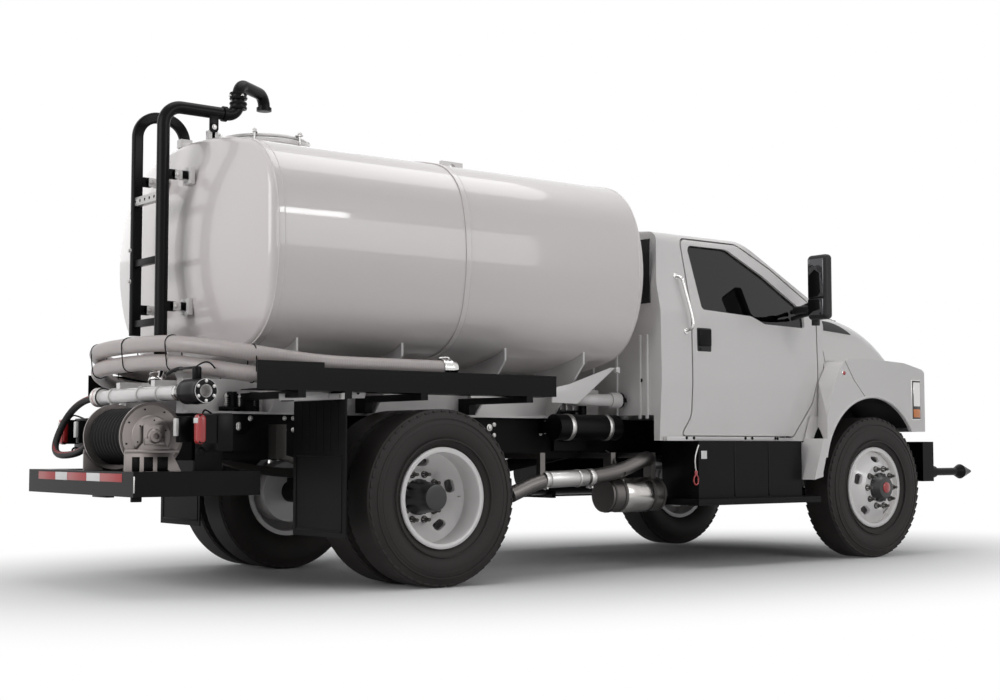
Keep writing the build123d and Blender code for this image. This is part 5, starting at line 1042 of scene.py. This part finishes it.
# %% Reel
reel_x, reel_z = tank_rear - 0.38, 0.885
turn_count, coil_start, coil_length = 11, 0.019, 0.462
pitch = coil_length / turn_count
wound = [(coil_start, 0.064)]
for n in range(turn_count):
    for angle in [pi - pi * k / 6 for k in range(7)]:
        wound.append((coil_start + pitch * (n + 0.5) + 0.49 * pitch * cos(angle), 0.142 + 0.021 * sin(angle)))
wound.append((coil_start + coil_length, 0.064))
coil = turned(wound, (reel_x, -0.58, reel_z), along_y, 72, True)
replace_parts(settle(coil, "reel_hose_turns", rubber, "reel", 60), "reel_hose")
for (side, hand), y in zip(hands, (-0.58, -0.08)):
    rim = turned([(0, 0.19), (0, 0.176), (0.0015, 0.174), (0.003, 0.176), (0.003, 0.186), (0.0045, 0.19),
                  (0.003, 0.1897), (0.0012, 0.1897)], (reel_x, y, reel_z), (0, side, 0), 96, True)
    dish = turned([(0, 0.118), (0.0025, 0.116), (0.004, 0.11), (0.004, 0.066), (0.006, 0.06), (0.0065, 0.018),
                   (0, 0.018)], (reel_x, y, reel_z), (0, side, 0), 72, True)
    settle(join([rim, dish]), "reel_flange_" + hand, reel_steel, "reel", 40)
    spots = [bar((reel_x + a, y + side * 0.0002, reel_z + b), (reel_x + a, y + side * 0.0046, reel_z + b),
                 size, 20)
             for radius, count, size in ((0.155, 8, 0.0052), (0.09, 6, 0.0048))
             for a, b in circle(count, radius, 0.35)]
    settle(join(spots), "reel_holes_" + hand, black_paint, "reel")
bearing_y = -0.616
settle(join([turned([(0, 0.044), (0.01, 0.042), (0.016, 0.034), (0.022, 0.033), (0.024, 0.017)],
                    (reel_x, bearing_y, reel_z), rightwards, 40),
             hex_bolts([(reel_x + x, bearing_y, reel_z - 0.03) for x in (-0.048, 0.048)], rightwards, 0.008,
                       0.007),
             plate((reel_x - 0.062, bearing_y - 0.01, reel_z - 0.048),
                   (reel_x + 0.062, bearing_y, reel_z - 0.012), 0.004)]), "reel_bearing", reel_steel)
lower_side = ((-0.175, 0.59), (-0.175, 0.8), (0.105, 0.8), (0.15, 0.72), (0.205, 0.61), (0.205, 0.59))
upper_side = ((-0.11, 0.8), (-0.064, 0.85), (-0.064, 0.948), (0.064, 0.948), (0.064, 0.85), (0.11, 0.8))
for y, face, hand in ((-0.612, -0.6166, "right"), (-0.048, -0.0444, "left")):
    settle(join([wedge([(reel_x + x, z) for x, z in outline], y, 0.008)
                 for outline in (lower_side, upper_side)]),
           "reel_frame_" + hand, reel_steel)
    settle(plate((reel_x - 0.176, y - 0.012, 0.792), (reel_x + 0.15, y - 0.002, 0.812), 0.003),
           "reel_frame_flange_" + hand, reel_steel)
    slots = [plate((reel_x + a, face, 0.69), (reel_x + b, face + 0.001, 0.77), 0.0003)
             for a, b in ((-0.13, -0.085), (-0.06, -0.005), (0.02, 0.085))]
    slots.append(turned([(0, 0), (0, 0.062), (0.001, 0.062), (0.001, 0)], (reel_x + 0.06, face, 0.64),
                        along_y, 40))
    settle(join(slots), "reel_frame_slots_" + hand, black_paint)

# %% [markdown]
# The feed hose follows the same points as the CAD hose, so it starts inside the union's bore and
# ends at the reel's shaft.

# %% Feed hose
black, red = (0.014, 0.013, 0.013), (0.26, 0.025, 0.03)
cord_rubber, tree, inputs = finish_of("feed_hose_rubber", black, 0.55, Specular_IOR_Level=0.25)
spot = node(tree, "TexCoord").outputs
facing = node(tree, "VectorMath", [(0, spot["Normal"]), (1, (-0.62, -0.1, 0.78))], operation="DOT_PRODUCT")
edge = node(tree, "MapRange", [("Value", facing.outputs["Value"]), ("From Min", 0.9), ("From Max", 0.94)])
weave = node(tree, "TexNoise", [("Vector", spot["Object"]), ("Scale", 90.0), ("Detail", 3.0)])
broken = node(tree, "MapRange", [("Value", weave), ("From Min", 0.4), ("From Max", 0.52)])
stripe = maths(tree, "MULTIPLY", edge, broken)
tree.links.new(mix_colour(tree, stripe.outputs[0], black, red), inputs["Base Color"])
bumped(tree, inputs, weave, 0.15)

pump_x, pump_z = tank_rear - 0.26, 1.13
loop_x = tank_rear - 0.39
feed_points = [(front_axle + x, y, z) for x, y, z in (
    (pump_x, 0.4403, pump_z), (pump_x, 0.8, pump_z), (loop_x, 0.905, 0.775), (loop_x, 0.42, 0.775),
    (reel_x, 0.2, reel_z), (reel_x, -0.0297, reel_z))]
feed = curve_through("feed_hose_cord", feed_points, 0.022, 5, 16)
feed.data.materials.append(cord_rubber)
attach(feed, "truck")
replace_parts(feed, "feed_hose")

# %% Pump line fittings
def on_pump_line(profile, steps=40, closed=False, y=0):
    return turned(profile, (pump_x, y, pump_z), along_y, steps, closed)


sleeves = [collar(start, end, radius, 0.05, (pump_x, 0, pump_z), along_y) for start, end, radius in
           ((0.36, 0.372, 0.0605), (0.384, 0.396, 0.0605), (0.408, 0.42, 0.0605), (0.426, 0.44, 0.06))]
sleeves.append(on_pump_line([(0.442, 0.0235), (0.442, 0.03), (0.447, 0.033), (0.47, 0.033), (0.474, 0.03),
                             (0.51, 0.0285), (0.512, 0.0235)], 36, True))
settle(join(sleeves), "union_rings", zinc, smooth=45)
settle(on_pump_line([(0.398, 0.054), (0.398, 0.0592), (0.406, 0.0592), (0.406, 0.054)], 40, True),
       "union_red_band", red_paint)
flanges = [on_pump_line([(0, 0.042), (0, 0.0505), (0.001, 0.0515), (0.007, 0.0515), (0.008, 0.0505),
                         (0.008, 0.042)], 40, True, y) for y in (-0.2, -0.212, -0.455, -0.467, 0.18, 0.192)]
settle(join(flanges), "pipe_flanges", white_paint, smooth=40)
settle(on_pump_line([(-0.775, 0.0695), (-0.7, 0.047), (-0.688, 0.0455), (-0.68, 0.048), (-0.668, 0.048),
                     (-0.664, 0.0435)], 48), "valve_cone", chrome, smooth=50)
settle(on_pump_line([(-1, 0.036), (-1.0015, 0.06), (-0.998, 0.0695), (-0.985, 0.0705), (-0.975, 0.0695),
                     (-0.95, 0.069), (-0.93, 0.07), (-0.88, 0.0725), (-0.83, 0.07), (-0.8, 0.069),
                     (-0.79, 0.07), (-0.777, 0.07), (-0.775, 0.068)], 56), "valve_body", black_paint,
       smooth=50)
settle(join([bar((pump_x, -0.885, 1.195), (pump_x, -0.885, 1.262), 0.026, bevel=0.004),
             plate((pump_x - 0.018, -0.9, 1.256), (pump_x + 0.018, -0.7, 1.268), 0.004),
             tube_along([(pump_x, -0.705, 1.262), (pump_x - 0.01, -0.64, 1.268),
                         (pump_x - 0.02, -0.56, 1.235)],
                        0.011, 10)]), "valve_handle", black_paint)
settle(hex_bolts([(pump_x + 0.054 * cos(a), -1.0005, pump_z + 0.054 * sin(a))
                  for a in (0.5, 1.57, 2.64, 3.71, 4.71, 5.78)], rightwards, 0.0065, 0.006), "valve_bolts",
       zinc)
settle(tube_along([(pump_x, -0.885, 1.268), (pump_x + 0.06, -0.86, 1.305), (pump_x + 0.14, -0.82, 1.28),
                   (pump_x + 0.2, -0.78, 1.21)], 0.0045), "valve_cable", rubber, smooth=60)

elbow, lean = Vector((tank_rear - 0.15, -0.19, 1.3097)), Vector((-0.34, -0.34, -0.87)).normalized()
settle(join([collar(start, end, radius, 0.04, elbow, lean, 44, 0.038) for start, end, radius in
             ((0.045, 0.055, 0.0485), (0.072, 0.08, 0.048), (0.104, 0.124, 0.0495))]), "cam_rings", chrome,
       smooth=45)
ear = elbow + lean * 0.1
across = lean.cross(Vector(along_x)).normalized()
settle(join([tube_along([ear + across * s * out - lean * back
                         for out, back in ((0.05, 0), (0.064, 0.02), (0.06, 0.095))], 0.0075, 10)
             for s in (-1, 1)]), "cam_arms", black_paint, smooth=60)

# %% [markdown]
# The rear bumper carries a red and white strip. A tail lamp is a tall oval, red with a white
# reversing lens on top, and small lamps and boxes fill the corner beside it.

# %% Strip and lamps
face_x, left = tank_rear - 0.566, 0.603
tape = {"red": [], "white": []}
for width, colour in ((0.266, "red"), (0.178, "white"), (0.285, "red"), (0.188, "white"), (0.3, "red")):
    tape[colour].append(plate((face_x - 0.0008, left - width, 0.632), (face_x + 0.001, left, 0.678), 0.0003))
    left -= width
settle(join(tape["red"]), "strip_red", tape_red)
settle(join(tape["white"]), "strip_white", tape_white)
settle(plate((face_x, -0.7608, 0.575), (face_x + 0.008, -0.7598, 0.665), 0.0003), "corner_mark", zinc)

for side, hand in hands:
    tail, lamp_y = side * 0.956, side * 0.705
    for name, finish, smooth, (x, width), (low_y, high_y), (low_z, high_z), bevel, segments in (
            ("tail_lens", red_plastic, 60, (-0.3, 0.058), (tail - 0.035, tail + 0.035),
             (0.84, 1.006), 0.026, 5),
            ("reverse_lens", white_plastic, 60, (-0.3025, 0.0405), (tail - 0.023, tail + 0.025),
             (0.952, 0.985), 0.008, 4),
            ("side_lamp", white_plastic, 35, (-0.3, 0.02), (lamp_y - 0.012, lamp_y + 0.022),
             (0.885, 0.985), 0.004, 2),
            ("side_lamp_holder", black_paint, 35, (-0.28, 0.075), (lamp_y - 0.02, lamp_y + 0.03),
             (0.85, 0.995), 0.004, 2),
            ("rear_corner_box", black_paint, 35, (-0.185, 0.095), (side * 0.8, side * 0.995),
             (0.8, 1.01), 0.008, 2)):
        settle(plate((tank_rear + x, low_y, low_z), (tank_rear + x + width, high_y, high_z), bevel, segments),
               "%s_%s" % (name, hand), finish, smooth=smooth)
    settle(turned([(0, 0.02), (0.004, 0.027), (0.014, 0.027), (0.018, 0.02), (0.01, 0.015)],
                  (tank_rear - 0.225, side * 0.86, 0.8), (0, side, 0), 32, True), "grommet_" + hand, rubber,
           smooth=60)
    settle(tube_along([(tank_rear - 0.25, side * 0.93, 0.99), (tank_rear - 0.235, side * 0.92, 1.03),
                       (tank_rear - 0.2, side * 0.9, 1.025), (tank_rear - 0.15, side * 0.88, 1)], 0.005),
           "lamp_wire_" + hand, rubber, smooth=60)
settle(join([plate((tank_rear - 0.5, -0.6, 0.52), (tank_rear - 0.44, -0.575, 0.56), 0.004),
             plate((tank_rear - 0.52, -0.3, 0.538), (tank_rear - 0.47, -0.1, 0.556), 0.004)]), "bumper_lugs",
       black_paint)

# %% [markdown]
# ## Under the truck
# Bands clamp the exhaust's joints, heat foil wraps the canister, and the mudflaps have pressed
# ribs and a raised frame round a bare panel.

# %% Exhaust
def band(start, end, radius, thickness=0.004):
    """A clamp band round a pipe between two points."""
    start, end = Vector(start), Vector(end)
    length, proud, inner = (end - start).length, radius + 0.0015, radius - thickness
    return turned([(0, inner), (0, radius), (0.002, proud), (length - 0.002, proud), (length, radius),
                   (length, inner)], start, end - start, 40, True)


pipe_y = -0.85
settle(join([band((x1, pipe_y, z1), (x2, pipe_y, z2), radius) for x1, z1, x2, z2, radius in (
    (-2.94, 0.6138, -2.62, 0.6232, 0.0535), (-2.6, 0.6242, -2.56, 0.625, 0.056),
    (-2.985, 0.6124, -2.945, 0.6136, 0.056), (-2.7, 0.6208, -2.68, 0.6214, 0.0575))]), "exhaust_bands", zinc,
       smooth=45)
settle(join([bar((x, pipe_y - half, z), (x, pipe_y + half, z), radius, sides, 0.001)
             for half, z, radius, sides in ((0.03, 0.56, 0.008, 20), (0.004, 0.562, 0.014, 6))
             for x in (-2.58, -2.965)]), "exhaust_bolts", zinc)
settle(tube_along([(-2.3, pipe_y - 0.056, 0.655), (-2.3, pipe_y, 0.6), (-2.3, pipe_y + 0.056, 0.66),
                   (-2.3, pipe_y + 0.05, 0.76), (-2.3, -0.7, 0.8)], 0.006), "exhaust_hanger_rod", raw_steel,
       smooth=60)
settle(turned([(0, 0.113), (0.01, 0.119), (0.06, 0.121), (0.12, 0.118), (0.18, 0.121), (0.235, 0.119),
               (0.245, 0.113)], (-2.235, -0.745, 0.5), along_x, 64), "canister_foil", foil, smooth=50)
settle(join([turned([(0, 0.114), (0, 0.119), (0.014, 0.119), (0.014, 0.114)], (x, -0.745, 0.5), along_x, 56,
                    True)
             for x in (-2.35, -2.26, -1.985, -1.9)]), "canister_bands", raw_steel, smooth=45)
pull_x, pull_y = -1.8, -1.064
settle(join([tube_along([(pull_x + 0.022 * a, pull_y, 0.6 + 0.034 * b) for a, b in circle(12, 1)], 0.0055,
                        cyclic=True),
             plate((pull_x - 0.012, -1.07, 0.63), (pull_x + 0.012, -1.06, 0.665), 0.004)]),
       "drain_pull", red_plastic, smooth=60)
settle(tube_along([(pull_x, pull_y, 0.66), (-1.815, -1.066, 0.72), (pull_x, pull_y, 0.79),
                   (-1.77, -1.062, 0.84)], 0.005), "drain_cable", zinc, smooth=60)
settle(plate((-1.745, -1.0615, 0.745), (-1.69, -1.0595, 0.8), 0.0006), "box_tag", white_plastic)
settle(join([plate((x, -1.0625, 0.48), (x + 0.012, -1.059, 0.86), 0.0015) for x in (-1.42, -1.07)] +
            [plate((-1.86, -1.1515, 0.44), (-0.612, -1.149, 0.4435), 0.001)]), "box_seams", black_paint)

# %% Mudflaps, air tank and caps
flap_x = rear_axle - 0.68
for side, hand in hands:
    ribs = [plate((flap_x - 0.0035, side * y - 0.0035, 0.8), (flap_x + 0.001, side * y + 0.0035, 1.115),
                  0.0015)
            for y in (0.7, 0.78, 0.86, 0.94, 1.02, 1.1)]
    ribs += [plate((flap_x - 0.004, side * a, low), (flap_x + 0.001, side * b, high))
             for a, b, low, high in ((0.64, 1.145, 0.34, 0.352), (0.64, 1.145, 0.77, 0.782),
                                     (0.63, 0.64, 0.34, 0.78), (1.135, 1.145, 0.34, 0.78))]
    settle(join(ribs), "flap_ribs_" + hand, rubber)
    settle(plate((flap_x - 0.006, side * 0.61, 1.095), (flap_x + 0.001, side * 1.17, 1.13)),
           "flap_clamp_" + hand, white_paint)
    settle(hex_bolts([(flap_x - 0.006, side * y, 1.112) for y in (0.68, 0.84, 1, 1.13)], backwards, 0.008,
                     0.006), "flap_bolts_" + hand, zinc)
settle(join([band((x, -0.62, 0.96), (x + 0.035, -0.62, 0.96), 0.0895) for x in (-2.6, -2.26)]),
       "air_tank_straps", zinc, smooth=45)
cap = [turned([(0, 0), (0, 0.04), (0.004, 0.05), (0.01, 0.0545), (0.026, 0.0545), (0.03, 0.05), (0.034, 0.04),
               (0.036, 0)], (-2.112, -0.61, 1.15), along_x, 44)]
cap += [plate((-2.105, y - 0.006, 1.135), (-2.08, y + 0.006, 1.165), 0.003) for y in (-0.668, -0.552)]
settle(join(cap), "delivery_cap", black_paint, smooth=45)

# %% [markdown]
# Brake chambers hang on the rear axle, and the bench seat gets crowned cushions in place of its plain
# CAD block.

# %% Brake chambers
for side, hand in hands:
    pot = turned([(0, 0), (0, 0.06), (0.006, 0.072), (0.05, 0.078), (0.056, 0.084), (0.066, 0.084),
                  (0.072, 0.078), (0.13, 0.072), (0.14, 0.06), (0.14, 0)],
                 (rear_axle + 0.18, side * 0.52, 0.55), (1, 0, 0.25))
    settle(pot, "brake_chamber_" + hand, frame_paint, smooth=45)

# %% Seat
def cushion(low, high, name):
    """A padded block: edges rolled well over and its faces swollen a little."""
    pad = shape(plate(low, high, 0.045, 4), (bpy.ops.mesh.subdivide, dict(number_cuts=2)),
                (bpy.ops.mesh.vertices_smooth, dict(factor=0.5, repeat=2)))
    return settle(pad, name, seat_cloth, smooth=80)


seat_node = nodes["bench_seat"]
corners = [seat_node.matrix_world @ Vector(corner) - to_scene for corner in seat_node.bound_box]
rear, _, foot = [min(corner[i] for corner in corners) for i in range(3)]
knee, _, head = [max(corner[i] for corner in corners) for i in range(3)]
base_top = foot + 0.2
cushions = []
for start, end in ((-0.69, -0.235), (-0.225, 0.225), (0.235, 0.69)):
    cushions.append(cushion((rear + 0.02, start, base_top), (knee, end, foot + 0.345), "seat_cushion"))
    cushions.append(cushion((rear, start, foot + 0.33), (rear + 0.15, end, head), "seat_back"))
settle(plate((rear, -0.67, foot), (knee - 0.03, 0.67, base_top + 0.02), 0.01), "seat_base", cab_trim)
soft = join(cushions)
soft.name = "seat_cushions"
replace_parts(soft, "bench_seat")

# %% [markdown]
# ## Light and floor
# Soft light from large lamps and a pale world, at a level where a colour renders about as it is
# written. The floor is white to the camera, and keeps the truck's shadow.

# %% Floor
def looking(tree):
    """1 for rays that look, straight, through glass or in a reflection, and 0 for those that light."""
    rays = node(tree, "LightPath").outputs
    clear = maths(tree, "MAXIMUM", rays["Is Camera Ray"], rays["Is Transmission Ray"])
    return maths(tree, "MAXIMUM", clear, rays["Is Glossy Ray"])


bpy.ops.object.select_all(action="DESELECT")
bpy.ops.mesh.primitive_plane_add(size=1, location=(0, 0, 0))
floor = bpy.context.object
floor.scale = (90, 90, 1)
bake_place(floor)
floor.name = "floor"
floor_material, tree, inputs = finish_of("floor_white", (0.72, 0.72, 0.72), 0.9, Specular_IOR_Level=0.1)
oval = node(tree, "VectorMath", [(0, node(tree, "TexCoord").outputs["Object"]), (1, (0.6, 1, 1))],
            operation="MULTIPLY")
away = node(tree, "VectorMath", [(0, oval)], operation="LENGTH").outputs["Value"]
far = node(tree, "MapRange", [("Value", away), ("From Min", 1.3), ("From Max", 3.8)],
           interpolation_type="SMOOTHSTEP")
white = node(tree, "Emission", [("Color", (1, 1, 1, 1)), ("Strength", 1.0)])
whole = node(tree, "MixShader", [(0, maths(tree, "MULTIPLY", far, looking(tree))),
                                 (1, tree.nodes["Principled BSDF"]), (2, white)])
tree.links.new(whole.outputs[0], tree.nodes["Material Output"].inputs["Surface"])
floor.data.materials.append(floor_material)

# %% World and lamps
world = bpy.data.worlds.new("studio")
bpy.context.scene.world = world
world.use_nodes = True
tree = world.node_tree
tree.nodes.clear()
soft_light = node(tree, "Background", [("Color", (0.93, 0.95, 1, 1)), ("Strength", 0.16)])
seen = node(tree, "Background", [("Color", (1, 1, 1, 1)), ("Strength", 1.0)])
mixed = node(tree, "MixShader", [(0, looking(tree)), (1, soft_light), (2, seen)])
node(tree, "OutputWorld", [("Surface", mixed)])

for name, place, target, size, power in (("overhead", (0, -1, 9), (0, 0, 1), (9, 5), 300),
                                         ("right_side", (2, -10, 4.2), (0, 0, 1.2), (8, 3), 150),
                                         ("behind", (-10, -1, 4.5), (0, 0, 1.4), (6, 5), 330),
                                         ("left_side", (0, 9, 5), (0, 0, 1.2), (8, 4), 60),
                                         ("strip_high", (0.5, -6.5, 4.6), (-0.5, 0, 1.8), (1.6, 0.35), 26),
                                         ("strip_low", (-0.5, -6.5, 2.4), (-0.5, 0, 1.8), (1.2, 0.3), 10)):
    data = bpy.data.lights.new(name, "AREA")
    data.shape = "RECTANGLE"
    data.size, data.size_y = size
    data.energy = power
    lamp = bpy.data.objects.new(name, data)
    bpy.context.scene.collection.objects.link(lamp)
    lamp.location = place
    lamp.rotation_euler = (Vector(target) - Vector(place)).to_track_quat("-Z", "Y").to_euler()
